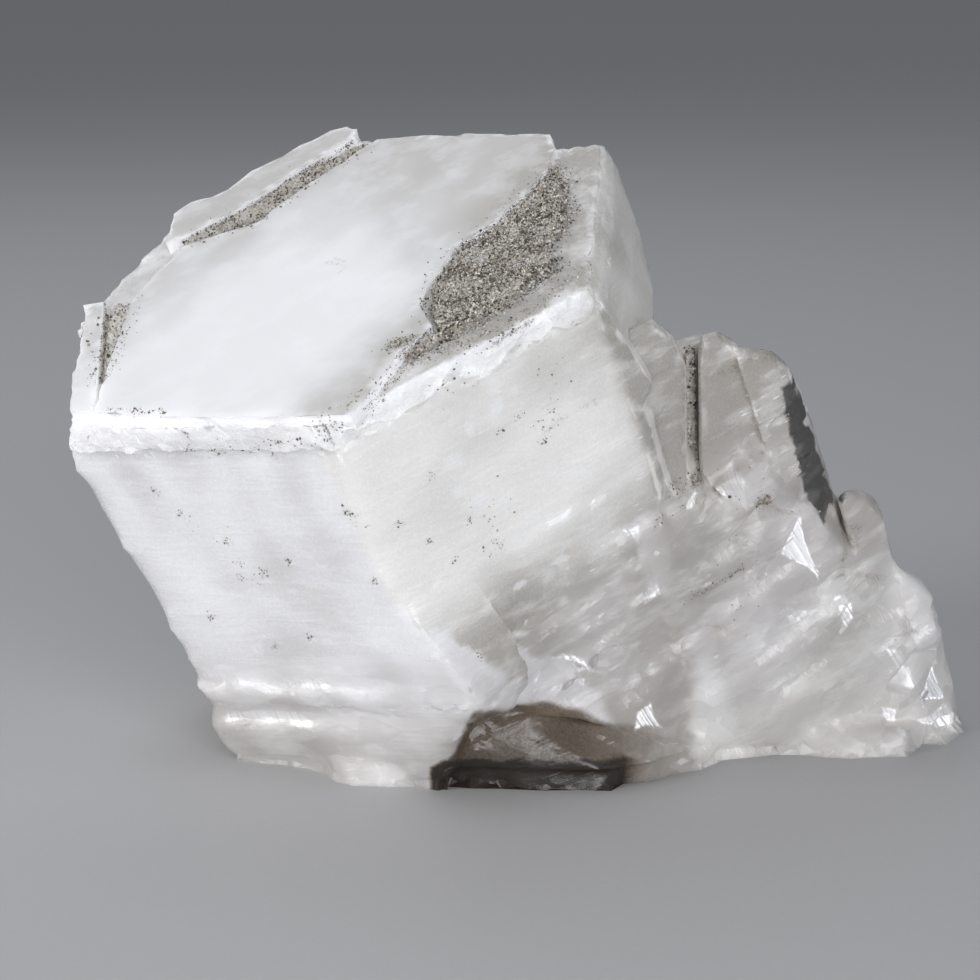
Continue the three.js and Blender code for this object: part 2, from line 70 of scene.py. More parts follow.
MM = 0.001
FINEST = 0.6  # shortest mesh edge, in millimetres, where a mark needs it
CELL = 0.5  # width of the cells that say where marks are, in millimetres
CELLS = 280  # cells along each side of a grid of them
CELLS_START = (70, 120)  # how far the first cell lies below zero, along a side and in level
PROBE = 2 * MM  # how far above a crust's sheet the calcite beneath or beside it is looked for
PROBE_REACH = 5 * MM
TINY = 1e-15  # keeps a division by a length from failing
MERGE_DISTANCE = 0.005 * MM  # the CAD's points that lie nearer each other than this are one
FLAT_ANGLE, RIDGE_ANGLE, SHADE_ANGLE = 0.7, 18, 24  # degrees: still flat, a sharp edge, a shaded edge
REFINING_ROUNDS, SMOOTH_ROUNDS, WORN_ROUNDS = 18, 40, 14
CLEAVAGE_SLOPE = 26.3  # degrees from the end face to a cleavage rhomb's edges
SHEET_SINK = 0.26 * MM  # how far a crust's top lies below its CAD sheet's
UNDERSIDE_SINK = 1.5 * MM  # how far a crust's underside goes down into the calcite
RIM_WIDTH = 1.5  # how wide the edge of a crust is laid down, in millimetres
CAMERA_PLACE = Vector((-5.58, -460.98, 135.89)) * MM
CAMERA_TARGET = Vector((-5.58, -13.64, 40.81)) * MM
LIGHT_TARGET = Vector((-0.01, -0.005, 0.042))

# The crystals' axes, as in the part's source: where the end face's middle is and how they are turned.
END_CENTRE = Vector((-25.16, -7.34, 70.7)) * MM
AXIS_HEADING, AXIS_TILT, AXIS_TURN = -134.8, 25.2, 104.9
AXES = (
    Matrix.Rotation(math.radians(AXIS_HEADING), 3, "Z")
    @ Matrix.Rotation(math.radians(AXIS_TILT), 3, "Y")
    @ Matrix.Rotation(math.radians(AXIS_TURN), 3, "Z")
)
FRONT, FRONT_RIGHT, WEDGE, RIGHT = 270, 323.6, 317.9, 25.6
SHINE_NORMAL = Vector((-0.46, -0.78, 0.35)).normalized()  # how the shining cracks lie

# Facets where cleavage cracks shine: the way their side looks, how bright they are, and their outline
# as places along that side and levels, in millimetres.
SHINING_FACETS = [
    (WEDGE, 0.5, [(35.9, -37.1), (31.9, -39.0), (35.0, -42.8)]),
    (WEDGE, 0.7, [(30.9, -37.4), (27.1, -39.5), (27.9, -39.5), (30.7, -38.2)]),
    (WEDGE, 0.8, [(42.3, -48.2), (39.2, -50.3), (37.6, -52.0), (40.7, -55.6), (42.0, -58.4), (41.7, -52.1)]),
    (WEDGE, 1.0, [(55.6, -83.6), (51.5, -85.8), (55.8, -89.0)]),
    (WEDGE, 1.0, [(49.5, -87.5), (55.4, -89.7), (51.9, -89.9)]),
    (WEDGE, 0.7, [(55.7, -90.0), (55.7, -94.1), (52.1, -91.1), (51.9, -90.2)]),
    (WEDGE, 0.8, [(45.4, -83.5), (47.1, -84.8), (46.2, -86.2), (45.2, -85.3)]),
    (WEDGE, 0.6, [(10.5, -65.1), (12.8, -64.9), (12.6, -67.0), (13.3, -69.6), (11.2, -67.8), (9.1, -67.6)]),
    (WEDGE, 0.55, [(2.8, -50.5), (5.6, -53.4), (7.0, -56.4), (4.5, -54.7)]),
    (WEDGE, 1.0, [(3.5, -56.1), (5.2, -56.8), (4.7, -57.9)]),
    (WEDGE, 0.35, [(17.3, -37.6), (19.8, -38.1), (18.8, -40.5)]),
    (WEDGE, 0.4, [(16.4, -48.5), (19.3, -47.4), (19.4, -48.9), (16.8, -49.5)]),
    (WEDGE, 0.3, [(35.2, -60.7), (38.2, -62.6), (39.4, -64.7), (36.2, -63.2)]),
    (WEDGE, 0.5, [(43.8, -62.7), (45.3, -63.1), (44.8, -66.8), (42.2, -68.9), (43.0, -65.0)]),
    (WEDGE, 0.4, [(48.2, -74.1), (50.3, -75.5), (51.8, -83.9), (50.4, -83.5)]),
    (FRONT, 0.7, [(-12.1, -38.6), (-9.4, -37.8), (-10.0, -40.0), (-12.5, -40.0)]),
    (FRONT, 0.7, [(-9.0, -36.5), (-6.6, -36.4), (-7.3, -37.1), (-9.1, -37.3)]),
    (FRONT, 0.7, [(-24.8, -36.2), (-23.5, -37.0), (-24.4, -38.1)]),
    (FRONT, 0.4, [(-21.7, -42.9), (-18.5, -42.8), (-16.1, -43.5), (-11.4, -44.8), (-14.8, -44.9),
                  (-17.6, -45.2), (-20.0, -44.6), (-22.1, -44.7)]),
    (FRONT, 0.45, [(-11.9, -44.9), (-6.8, -44.0), (-3.8, -43.0), (-5.0, -44.2), (1.1, -44.5), (-2.0, -45.2),
                   (-7.1, -45.5)]),
    (FRONT, 0.45, [(-20.3, -50.5), (-15.0, -49.8), (-8.1, -49.9), (-5.7, -51.3), (-5.1, -52.5), (-7.7, -52.0),
                   (-10.0, -51.2), (-12.9, -51.5), (-16.5, -51.1), (-20.5, -51.6)]),
    (FRONT, 0.3, [(-0.5, -43.3), (5.0, -43.4), (9.8, -44.1), (11.4, -44.5), (4.0, -44.2), (-0.1, -44.5)]),
]

# Patches where the surface is crumbly and white, given in the same way.
CRUMBLY_PATCHES = [
    (FRONT_RIGHT, 0.7, [(1.2, -9.0), (4.2, -10.0), (3.8, -14.0), (0.8, -13.0)]),
    (FRONT_RIGHT, 0.6, [(-7.1, -14.2), (-3.2, -14.4), (-4.7, -17.4), (-7.5, -16.8)]),
    (FRONT_RIGHT, 0.4, [(3.0, -14.0), (9.0, -17.0), (7.0, -24.0), (1.0, -21.0)]),
    (FRONT, 0.8, [(5.5, 0.5), (12.0, -0.5), (11.5, -5.5), (5.5, -6.0)]),
    (FRONT, 0.8, [(14.0, -1.8), (20.0, -0.8), (21.5, -2.5), (17.6, -5.2), (14.0, -5.2)]),
    (WEDGE, 0.35, [(33.0, -58.0), (40.0, -61.0), (41.0, -66.0), (35.0, -66.0)]),
    (WEDGE, 0.3, [(14.0, -70.0), (30.0, -72.0), (30.0, -77.0), (13.0, -76.0)]),
    (WEDGE, 0.35, [(-6.0, -61.0), (-1.0, -62.5), (-2.0, -65.5), (-6.0, -65.0)]),
]

# Small white marks on each side, partly white bruises and partly painted glints: the place along it, the
# level, half the width and half the height.
BRUISES_AND_GLINTS = {
    FRONT: [
        (-16.9, -14.4, 0.9, 0.4), (-21.1, -11.0, 0.7, 0.3), (-16.8, -9.2, 0.5, 0.3), (-15.2, -17.6, 0.9, 0.5),
        (-24.4, -19.4, 1.2, 0.3), (-25.6, -22.9, 1.1, 0.4), (-18.6, -22.9, 1.6, 0.5),
        (-16.9, -24.7, 0.8, 0.3),
        (-11.7, -15.4, 0.6, 0.3), (-8.1, -20.9, 0.5, 0.9), (-7.2, -24.4, 0.8, 0.5), (0.8, -24.3, 0.9, 0.3),
        (4.3, -23.1, 0.9, 0.3), (6.1, -24.8, 0.8, 0.3), (-4.2, -27.4, 1.2, 0.3), (-0.7, -29.0, 1.6, 0.3),
        (-11.1, -30.0, 1.7, 0.3), (-4.1, -30.3, 0.6, 0.3), (-22.1, -33.7, 2.0, 0.4), (-18.7, -32.5, 1.6, 0.3),
        (-15.0, -33.3, 0.8, 0.3), (-12.3, -35.8, 0.9, 0.4), (-24.2, -37.1, 0.8, 0.7), (-8.6, -35.2, 0.9, 0.3),
        (6.9, -37.5, 0.9, 0.3), (10.0, -37.5, 1.5, 0.4), (2.0, -37.6, 1.0, 0.3), (-0.4, -37.3, 0.8, 0.3),
        (14.0, -16.6, 0.9, 0.4), (5.2, -17.6, 1.2, 0.3), (-12.6, -24.9, 1.0, 0.3), (-7.8, -29.1, 0.9, 0.3),
        (-17.7, -42.7, 1.5, 0.4), (19.0, -39.4, 0.6, 0.5),
    ],
    FRONT_RIGHT: [
        (3.0, -11.0, 0.9, 1.0), (3.7, -8.2, 0.5, 1.2), (6.1, -10.3, 0.5, 0.6), (-5.5, -15.4, 1.3, 0.9),
        (-5.9, -19.8, 1.0, 0.7), (-3.7, -22.6, 1.3, 0.7), (-0.5, -24.5, 0.9, 0.6), (1.9, -29.0, 1.4, 0.6),
        (12.2, -31.4, 0.9, 0.6), (10.9, -25.8, 0.8, 0.6), (5.9, -31.2, 1.2, 0.5), (13.1, -38.5, 0.8, 0.6),
        (4.0, -36.9, 1.2, 0.5), (-2.5, -37.4, 0.9, 0.5), (-1.7, -12.4, 0.6, 0.9),
    ],
}

# Where the front side turns bright and creamy: levels and the place along the front at each.
CREAM_LEVELS = (-60.0, -41.3, -37.6, -34.4, -31.6, -28.5, -26.2, -23.2, -20.4, -15.9, -10.3, -5.8, 0.0)
CREAM_STARTS = (30.0, 22.4, 19.7, 17.4, 16.4, 15.7, 14.7, 13.8, 13.8, 14.0, 13.0, 12.9, 12.9)

# A facet of a column where the calcite is clear, painted near black as shade.
CLEAR_SHADED_FACETS = [(WEDGE, 1.0, [(45.9, -29.5), (48.9, -29.5), (50.3, -49.0), (45.2, -51.0), (44.6, -47.0)])]

# Healed hollows, where the broken calcite is smooth: the side, the place along it, the level, the reach.
SMOOTH_PLACES = [
    (WEDGE, 3.0, -55.8, 6.5), (WEDGE, 10.6, -57.3, 6), (WEDGE, 24.2, -61.5, 6.5), (WEDGE, 38.3, -50.5, 6.5),
    (WEDGE, 46.8, -64.0, 6.5), (WEDGE, 53.8, -84.5, 5.5), (WEDGE, 28.6, -41.5, 6), (WEDGE, 56.0, -91.0, 5),
]

# Dirt lines on the calcite: points along the line (s, t, n), its half width and how dark it is.
DIRT_LINES = [
    ([(31.0, -16.7, -2.4), (32.9, -13.9, -2.2), (35.0, -11.2, -2.0)], 0.35, 0.7),
    ([(32.3, -13.5, -18.0), (35.2, -9.5, -17.4), (37.5, -6.4, -17.9)], 0.5, 0.3),
    ([(39.6, -6.6, -38.5), (43.4, -2.4, -38.0), (46.4, 0.9, -37.8)], 0.35, 0.7),
    ([(40.0, -6.2, -51.9), (43.2, -2.6, -51.6), (46.5, 1.1, -51.2)], 0.35, 0.6),
    ([(18.3, -29.9, -52.1), (23.2, -25.0, -57.0), (25.9, -21.5, -60.3), (31.5, -15.2, -68.9)], 0.8, 0.6),
    ([(-7.9, -36.0, -50.3), (0.6, -36.0, -48.3), (7.7, -36.0, -49.2), (21.1, -36.0, -48.3)], 0.4, 0.35),
    ([(-17.4, -38.0, -51.4), (-14.0, -38.0, -51.3)], 0.6, 0.8),
    ([(25.6, -36.2, -39.0), (27.0, -36.2, -38.9)], 0.4, 0.9),
    ([(20.3, -30.0, -44.3), (21.3, -28.8, -44.3)], 0.6, 0.8),
    ([(47.0, 8.2, -23.5), (48.9, 10.7, -24.1)], 0.7, 0.5),
    ([(50.8, 10.7, -22.8), (53.0, 13.7, -24.2), (54.0, 15.1, -26.7)], 1.0, 0.4),
    ([(50.3, 5.0, -43.2), (50.8, 5.6, -43.0)], 0.9, 0.9),
    ([(59.8, 11.6, -46.9), (59.6, 11.3, -51.0)], 1.2, 0.45),
    ([(62.7, 13.3, -65.4), (62.5, 13.0, -69.5)], 1.2, 0.4),
    ([(38.5, -0.8, -36.9), (40.2, 1.5, -37.5), (42.1, 4.0, -37.9)], 1.2, 0.6),
    ([(-5.7, 3.1, 0), (-1.4, 1.7, 0), (-2.0, -0.1, 0)], 0.3, 0.35),
    ([(-5.3, 4.2, 0), (-2.5, 2.9, 0)], 0.25, 0.3),
    ([(41.7, 9.3, -26.3), (45.4, 6.6, -23.3), (47.1, 8.2, -23.1), (48.8, 10.5, -24.4)], 0.3, 0.3),
    ([(44.6, 4.7, -34.0), (46.4, 7.0, -36.1)], 0.3, 0.22),
    ([(49.1, 8.5, -37.1), (50.7, 10.9, -36.2), (52.3, 13.5, -37.6)], 0.3, 0.25),
    ([(48.9, 4.9, -45.7), (50.2, 7.1, -45.8), (52.5, 9.8, -47.7)], 0.3, 0.3),
    ([(50.7, 10.6, -29.4), (49.3, 9.6, -37.0), (49.1, 5.8, -44.6)], 0.4, 0.45),
    ([(54.7, 10.9, -59.9), (56.3, 14.1, -61.9), (58.4, 17.3, -64.5)], 0.4, 0.5),
    ([(53.1, 19.9, -52.6), (55.7, 11.9, -57.5), (55.4, 11.8, -60.5)], 0.5, 0.5),
    ([(55.8, 15.5, -53.1), (57.1, 16.0, -55.1), (55.6, 15.1, -57.2)], 1.0, 0.45),
    ([(58.4, 14.7, -73.7), (60.1, 18.1, -74.7), (61.5, 18.9, -76.0)], 0.4, 0.4),
    ([(28.5, -18.9, -6.4), (27.2, -20.9, -11.4)], 0.2, 0.2),
]


# ------------------------------------------------------------------ sizes and colours


def length_setting(name, description, default):
    return FloatProperty(name=name, description=description, default=default, unit="LENGTH")


def colour_setting(name, description, default):
    return FloatVectorProperty(
        name=name, description=description, default=default, subtype="COLOR", size=3, min=0, max=1)


def power_setting(name, description, default):
    return FloatProperty(name=name, description=description, default=default, unit="POWER")


class CalciteSettings(bpy.types.PropertyGroup):
    """Sizes and colours of the calcite."""

    fine_edge: length_setting("Fine edge", "Longest mesh edge where the calcite is broken", 1.25 * MM)
    plain_edge: length_setting("Plain edge", "Longest mesh edge on the smooth faces", 2.2 * MM)
    step_height: length_setting("Step height", "Height of the cleavage steps on broken calcite", 0.4 * MM)
    chip_depth: length_setting("Chip depth", "How deep the chips along the edges are", 0.35 * MM)
    cool_white: colour_setting("Cool white", "Milky calcite in the end face", (0.93, 0.932, 0.965))
    warm_white: colour_setting("Warm white", "Creamy calcite low on the front", (0.92, 0.905, 0.875))
    grey: colour_setting("Grey", "Clearer, greyer calcite in the columns", (0.395, 0.374, 0.345))
    # Its brown also serves as painted shade at the foot and under the ledge.
    stain_and_shade: colour_setting("Stain", "Brown calcite at the foot and under the ledge", (0.14, 0.108, 0.078))
    dirt: colour_setting("Dirt", "Tan dirt caught on ledges and cracks", (0.16, 0.115, 0.07))


class DruseSettings(bpy.types.PropertyGroup):
    """Sizes and colours of the drusy crusts."""

    grain_size: length_setting("Grain size", "Width of a usual grain", 0.31 * MM)
    grain_spacing: length_setting("Grain spacing", "Least distance between grains", 0.20 * MM)
    seed: IntProperty(name="Seed", description="Pattern of the grains", default=7, min=0)


class StageSettings(bpy.types.PropertyGroup):
    """The studio."""

    floor: colour_setting("Floor", "Colour of the floor", (0.50, 0.50, 0.51))
    key_power: power_setting("Key light", "Power of the softbox at the upper left", 2.8)
    fill_power: power_setting("Fill light", "Power of the softbox beside the camera", 4.1)
    top_power: power_setting("Top light", "Power of the softbox above and behind", 1.2)
    lens: FloatProperty(name="Lens", description="Focal length", default=120.0, unit="CAMERA")


# ------------------------------------------------------------------ shader maths


class Value:
    """A socket's value in a node tree, so that shader maths reads as plain expressions."""

    def __init__(self, nodes, socket):
        self.nodes = nodes
        self.socket = socket

    def maths(self, operation, *others, clamp=False):
        settings = {"operation": operation, "use_clamp": clamp}
        return self.nodes.add("ShaderNodeMath", settings, dict(enumerate((self, *others))))

    def __add__(self, other):
        return self.maths("ADD", other)

    __radd__ = __add__

    def __mul__(self, other):
        return self.maths("MULTIPLY", other)

    __rmul__ = __mul__

    def __sub__(self, other):
        return self.maths("SUBTRACT", other)

    def __rsub__(self, other):
        return self.maths("MULTIPLY_ADD", -1.0, other)

    def limited(self):
        return self.maths("ADD", 0.0, clamp=True)

    def between(self, low, high):
        """0 below low, 1 above high and smooth between them."""
        inputs = {"Value": self, "From Min": low, "From Max": high}
        return self.nodes.add("ShaderNodeMapRange", {"interpolation_type": "SMOOTHSTEP"}, inputs)


class Nodes:
    """Adds nodes to one material's tree."""

    def __init__(self, name):
        self.material = bpy.data.materials.new(name)
        self.material.use_nodes = True
        self.tree = self.material.node_tree
        self.tree.nodes.clear()

    def add(self, kind, settings=None, inputs=None, output=0):
        """One node: its settings first, then the values or links of its sockets."""
        node = self.tree.nodes.new(kind)
        for key, value in (settings or {}).items():
            setattr(node, key, value)
        for key, value in (inputs or {}).items():
            if isinstance(value, Value):
                self.tree.links.new(value.socket, node.inputs[key])
            else:
                node.inputs[key].default_value = value
        return Value(self, node.outputs[output]) if node.outputs else None

    def attribute(self, name):
        return self.add("ShaderNodeAttribute", {"attribute_name": name}, output="Fac")

    def vector(self, operation, first, second):
        return self.add("ShaderNodeVectorMath", {"operation": operation}, {0: first, 1: second})

    def along(self, place, direction):
        """How far a place lies along a direction."""
        inputs = {0: place, 1: direction}
        return self.add("ShaderNodeVectorMath", {"operation": "DOT_PRODUCT"}, inputs, output="Value")

    def streaks(self, place, direction, scale, detail, roughness):
        """Streaks square to a direction."""
        inputs = {"W": self.along(place, direction), "Scale": scale, "Detail": detail, "Roughness": roughness}
        return self.add("ShaderNodeTexNoise", {"noise_dimensions": "1D"}, inputs, output="Fac")

    def noise(self, place, scale, detail, roughness, stretch=(1, 1, 1)):
        place = self.vector("MULTIPLY", place, stretch)
        inputs = {"Vector": place, "Scale": scale, "Detail": detail, "Roughness": roughness}
        return self.add("ShaderNodeTexNoise", {}, inputs, output="Fac")

    def cells(self, place, stretch, output="Distance"):
        place = self.vector("MULTIPLY", place, stretch)
        return self.add("ShaderNodeTexVoronoi", {}, {"Vector": place, "Scale": 1.0}, output)

    def mix(self, first, second, factor):
        """Two colours mixed."""
        inputs = {"Factor": factor, 6: first, 7: second}
        return self.add("ShaderNodeMix", {"data_type": "RGBA"}, inputs, output=2)

    def bump(self, strength, distance, height):
        inputs = {"Strength": strength, "Distance": distance, "Height": height}
        return self.add("ShaderNodeBump", {}, inputs, output="Normal")

    def crystal_place(self):
        """The place in millimetres along the crystals' own axes."""
        place = self.add("ShaderNodeTexCoord", output="Object")
        place = self.vector("SUBTRACT", place, tuple(END_CENTRE))
        parts = [self.along(place, tuple(axis / MM)) for axis in AXES.col]
        return self.add("ShaderNodeCombineXYZ", {}, dict(enumerate(parts)))

    def finish(self, settings, **sockets):
        """Joins a Principled shader with these settings and sockets to the output."""
        names = {key.replace("_", " "): value for key, value in sockets.items()}
        shader = self.add("ShaderNodeBsdfPrincipled", settings, names)
        self.add("ShaderNodeOutputMaterial", {}, {"Surface": shader})
        return self.material


def colour(values):
    return (*values, 1.0)


# ------------------------------------------------------------------ mesh work on arrays of points


def crystal_places(points):
    """Places along the crystals' axes, in millimetres, of points in metres."""
    return (points - np.array(END_CENTRE)) @ np.array(AXES) / MM


def distance_out(places, facing):
    """How far from the long axis places lie, toward a side that faces this way about it."""
    angle = math.radians(facing)
    return places[:, 0] * math.cos(angle) + places[:, 1] * math.sin(angle)


def place_along(places, facing):
    """Where places lie along a side that faces this way about the long axis."""
    angle = math.radians(facing)
    return places[:, 1] * math.cos(angle) - places[:, 0] * math.sin(angle)


def ramp(values, low, high):
    """0 at low, 1 at high and smooth between them; low may be the greater."""
    share = np.clip((values - low) / (high - low), 0, 1)
    return share * share * (3 - 2 * share)


def ripple(places, size, seed):
    """A smooth random field between about -1 and 1, with bumps of this size in millimetres."""
    rng = np.random.default_rng(seed)
    total = np.zeros(len(places))
    for _ in range(9):
        direction = rng.normal(size=3)
        direction *= rng.uniform(0.7, 1.6) * 2 * math.pi / (size * 2 * np.linalg.norm(direction))
        total += np.sin(places @ direction + rng.uniform(0, 2 * math.pi))
    return total / 3.6


def flat_faces(node):
    """A CAD node's mesh, merged and then cut into triangles: points, faces and its outward edges."""
    bm = bmesh.new()
    bm.from_mesh(bpy.data.objects[node].data)
    bmesh.ops.remove_doubles(bm, verts=bm.verts[:], dist=MERGE_DISTANCE)
    bmesh.ops.dissolve_limit(
        bm, angle_limit=math.radians(FLAT_ANGLE), verts=bm.verts[:], edges=bm.edges[:])
    ridges = [
        [tuple(vert.co) for vert in edge.verts]
        for edge in bm.edges
        if len(edge.link_faces) == 2 and edge.calc_face_angle_signed() > math.radians(RIDGE_ANGLE)
    ]
    bmesh.ops.triangulate(bm, faces=bm.faces[:], quad_method="BEAUTY", ngon_method="BEAUTY")
    bm.verts.index_update()
    points = np.array([vert.co for vert in bm.verts], dtype=float)
    faces = np.array([[vert.index for vert in face.verts] for face in bm.faces])
    bm.free()
    return points, faces, np.array(ridges)


def refined(points, faces, longest, shortest):
    """Halves the edges that are longer than longest(middles), round by round; shortest is its least."""
    for _ in range(REFINING_ROUNDS):
        sides = np.sort(faces[:, [[0, 1], [1, 2], [2, 0]]], axis=2)
        keys, places = np.unique(sides[..., 0] * len(points) + sides[..., 1], return_inverse=True)
        places = places.reshape(-1, 3)
        ends = np.stack([keys // len(points), keys % len(points)], axis=1)
        middles = points[ends].mean(axis=1)
        lengths = np.linalg.norm(points[ends[:, 0]] - points[ends[:, 1]], axis=1)
        of_faces = lengths[places]
        leading = np.zeros(len(keys), bool)
        leading[places[of_faces >= of_faces.max(axis=1, keepdims=True)]] = True
        cut = leading & (lengths > shortest)
        cut[cut] = lengths[cut] > longest(middles[cut])
        if not cut.any():
            break
        middle_index = np.full(len(keys), -1)
        middle_index[cut] = len(points) + np.arange(cut.sum())
        points = np.concatenate([points, middles[cut]])
        faces = split_faces(faces, middle_index[places])
    return points, faces


def split_faces(faces, middles):
    """Cuts each triangle at the middles of its sides, where -1 means that a side stays whole."""
    count = (middles >= 0).sum(axis=1)
    # One cut side goes first; of two cut sides the whole one goes last.
    first = np.where(count == 1, np.argmax(middles >= 0, axis=1), 0)
    first = np.where(count == 2, (np.argmin(middles, axis=1) + 1) % 3, first)
    order = (first[:, None] + np.arange(3)) % 3
    turned = np.hstack([np.take_along_axis(part, order, 1) for part in (faces, middles)])
    patterns = {
        0: [(0, 1, 2)],
        1: [(0, 3, 2), (3, 1, 2)],
        2: [(3, 1, 4), (0, 3, 4), (0, 4, 2)],
        3: [(0, 3, 5), (3, 1, 4), (5, 4, 2), (3, 4, 5)],
    }
    return np.concatenate([
        turned[count == number][:, triangle]
        for number, triangles in patterns.items()
        for triangle in triangles
    ])


def face_normals(points, faces):
    """The faces' normals, as long as twice the faces' areas."""
    first, second, third = (points[faces[:, i]] for i in range(3))
    return np.cross(second - first, third - first)


def unit(vectors, least=TINY):
    return vectors / np.maximum(np.linalg.norm(vectors, axis=1, keepdims=True), least)


def point_normals(points, faces):
    normals = np.zeros_like(points)
    of_faces = face_normals(points, faces)
    for i in range(3):
        np.add.at(normals, faces[:, i], of_faces)
    return unit(normals, 1e-12)


def search_tree(points):
    tree = kdtree.KDTree(len(points))
    for i, point in enumerate(points):
        tree.insert(point, i)
    tree.balance()
    return tree


def surface_of(name, context):
    """An object's surface, for rays and nearest points."""
    return bvhtree.BVHTree.FromObject(bpy.data.objects[name], context.evaluated_depsgraph_get())


def distances_to_lines(places, starts, ends):
    """Each place's distance to the nearest of some straight lines."""
    nearest = np.full(len(places), 1e9)
    for start, end in zip(starts, ends):
        line = end - start
        share = np.clip((places - start) @ line / max(line @ line, 1e-12), 0, 1)
        away = places - start - share[:, None] * line
        nearest = np.minimum(nearest, np.einsum("ij,ij->i", away, away))
    return np.sqrt(nearest)


def distances_to_ridges(places, ridges):
    """Each place's distance to the nearest of many short lines, by points along them."""
    marks = []
    for start, end in ridges:
        count = max(int(np.linalg.norm(end - start) / 0.35), 1)
        marks.extend(start + (end - start) * share for share in np.linspace(0, 1, count + 1))
    tree = search_tree(marks)
    return np.array([tree.find(place)[2] for place in places])


def new_piece(name, points, faces, attributes, material):
    """An object from arrays, with its attributes on its points."""
    mesh = bpy.data.meshes.new(name)
    mesh.from_pydata(points.tolist(), [], faces.tolist())
    for key, values in attributes.items():
        layer = mesh.attributes.new(key, "FLOAT", "POINT")
        layer.data.foreach_set("value", np.asarray(values, dtype=np.float32))
    mesh.materials.append(material)
    piece = bpy.data.objects.new(name, mesh)
    bpy.context.scene.collection.objects.link(piece)
    return piece


def shade_smooth(piece):
    """Shades a piece smooth, except at its sharp edges."""
    bpy.ops.object.select_all(action="DESELECT")
    piece.select_set(True)
    bpy.context.view_layer.objects.active = piece
    bpy.ops.object.shade_smooth_by_angle(angle=math.radians(SHADE_ANGLE))


# ------------------------------------------------------------------ calcite


def cleavage_axes():
    """The three edges of a cleavage rhomb, along the crystals' axes."""
    slope = math.radians(CLEAVAGE_SLOPE)
    return np.array([
        [math.cos(heading) * math.cos(slope), math.sin(heading) * math.cos(slope), math.sin(slope)]
        for heading in map(math.radians, (30, 150, 270))
    ])


def cleaved(places, cell, share, seed):
    """Moves places toward the middles of uneven cleavage cells, which leaves flat steps and risers."""
    rng = np.random.default_rng(seed)
    edges = cleavage_axes()
    along = places @ np.linalg.inv(edges)
    moved = along.copy()
    for k in range(3):
        low, high = along[:, k].min() - cell, along[:, k].max() + cell
        walls = low + np.cumsum(rng.uniform(0.5, 1.5, int((high - low) / cell * 1.6) + 4) * cell)
        walls = np.concatenate([[low], walls])
        row = np.clip(np.searchsorted(walls, along[:, k]) - 1, 0, len(walls) - 2)
        middle = (walls[row] + walls[row + 1]) / 2
        moved[:, k] += share * (middle - along[:, k])
    return moved @ edges


def zones(points, places, normals):
    """How much each kind of surface is present at each point."""
    level = places[:, 2]
    right, front_right = distance_out(places, RIGHT), distance_out(places, FRONT_RIGHT)
    world_y, height = points[:, 1] / MM, points[:, 2] / MM
    axial = normals @ np.array(AXES.col[2])
    wobble = 2.5 * ripple(places, 11, 3)
    wedge = ramp(right + wobble, 27, 31) * ramp(level + wobble, -34, -38)
    low_front = ramp(level + wobble, -41, -47) * ramp(world_y, 12, 0)
    under = ramp(height, 14, 8)
    back = ramp(world_y, 14, 24) * ramp(normals[:, 1], 0.25, 0.5)
    band = ramp(level, -0.5, -1.4) * ramp(level, -7.5, -5.8)
    out_front = distance_out(places, FRONT)
    seam = ramp(np.abs(out_front - 36), 5, 2) * ramp(np.abs(front_right - 34), 5, 2)
    seam = seam * ramp(level, -8, -12)
    ledges = ramp(out_front, 32, 34) * ramp(level, -9, -12) * ramp(level, -42, -39) * (world_y < 5)
    dark = inside_outlines(places, normals, CLEAR_SHADED_FACETS, 0.35)
    streaky = ramp(front_right, 30, 32) * ramp(level, -18, -26) * ramp(right, 14, 20)
    cream = np.interp(level, CREAM_LEVELS, CREAM_STARTS) + 0.25 * ripple(places, 2, 26)
    facing_right = normals @ side_normal(RIGHT)
    return {
        "broken": np.clip(np.maximum.reduce([wedge, 0.8 * low_front, 0.8 * under, 0.9 * back]), 0, 1),
        "worn": np.clip(np.maximum.reduce([wedge, 0.45 * low_front, 0.6 * under, 0.6 * streaky]), 0, 1),
        "smooth": np.clip(np.maximum.reduce([seam, ledges, dark]), 0, 1),
        "clear_shaded_side": dark,
        "plate": ramp(axial, 0.9, 0.97) * ramp(level, -0.6, -0.2),
        "top": ramp(axial, 0.85, 0.95) * ramp(level, -2.8, -2.3),
        "satin": ramp(facing_right, 0.93, 0.97) * ramp(level, -40, -36),
        "wedge": wedge,
        "rough_band": band,
        "columns": ramp(right, 33, 36) * (1 - 0.6 * wedge),
        "front_right": ramp(places[:, 0], cream - 0.4, cream + 0.4) * ramp(level, -2, -7) * (world_y < 12),
        "low": ramp(height, 17, 4),
    }


def inside_outlines(places, normals, facets, soft):
    """How much each place lies inside some outlines on the sides, softened over a width."""
    mask = np.zeros(len(places))
    for facing, strength, outline in facets:
        flat = np.stack([place_along(places, facing), places[:, 2]], axis=1)
        inside = np.zeros(len(places), bool)
        nearest = np.full(len(places), 1e9)
        for start, end in zip(outline, outline[1:] + outline[:1]):
            start, end = np.array(start), np.array(end)
            crosses = (flat[:, 1] > start[1]) != (flat[:, 1] > end[1])
            if end[1] != start[1]:
                across = start[0] + (flat[:, 1] - start[1]) * (end[0] - start[0]) / (end[1] - start[1])
                inside ^= crosses & (flat[:, 0] < across)
            nearest = np.minimum(nearest, distances_to_lines(flat, [start], [end]))
        near = (normals @ side_normal(facing) > -0.3) & (distance_out(places, facing) > 28)
        depth = np.where(inside, nearest, -nearest)
        mask = np.maximum(mask, strength * near * ramp(depth, -soft / 2, soft / 2))
    return mask


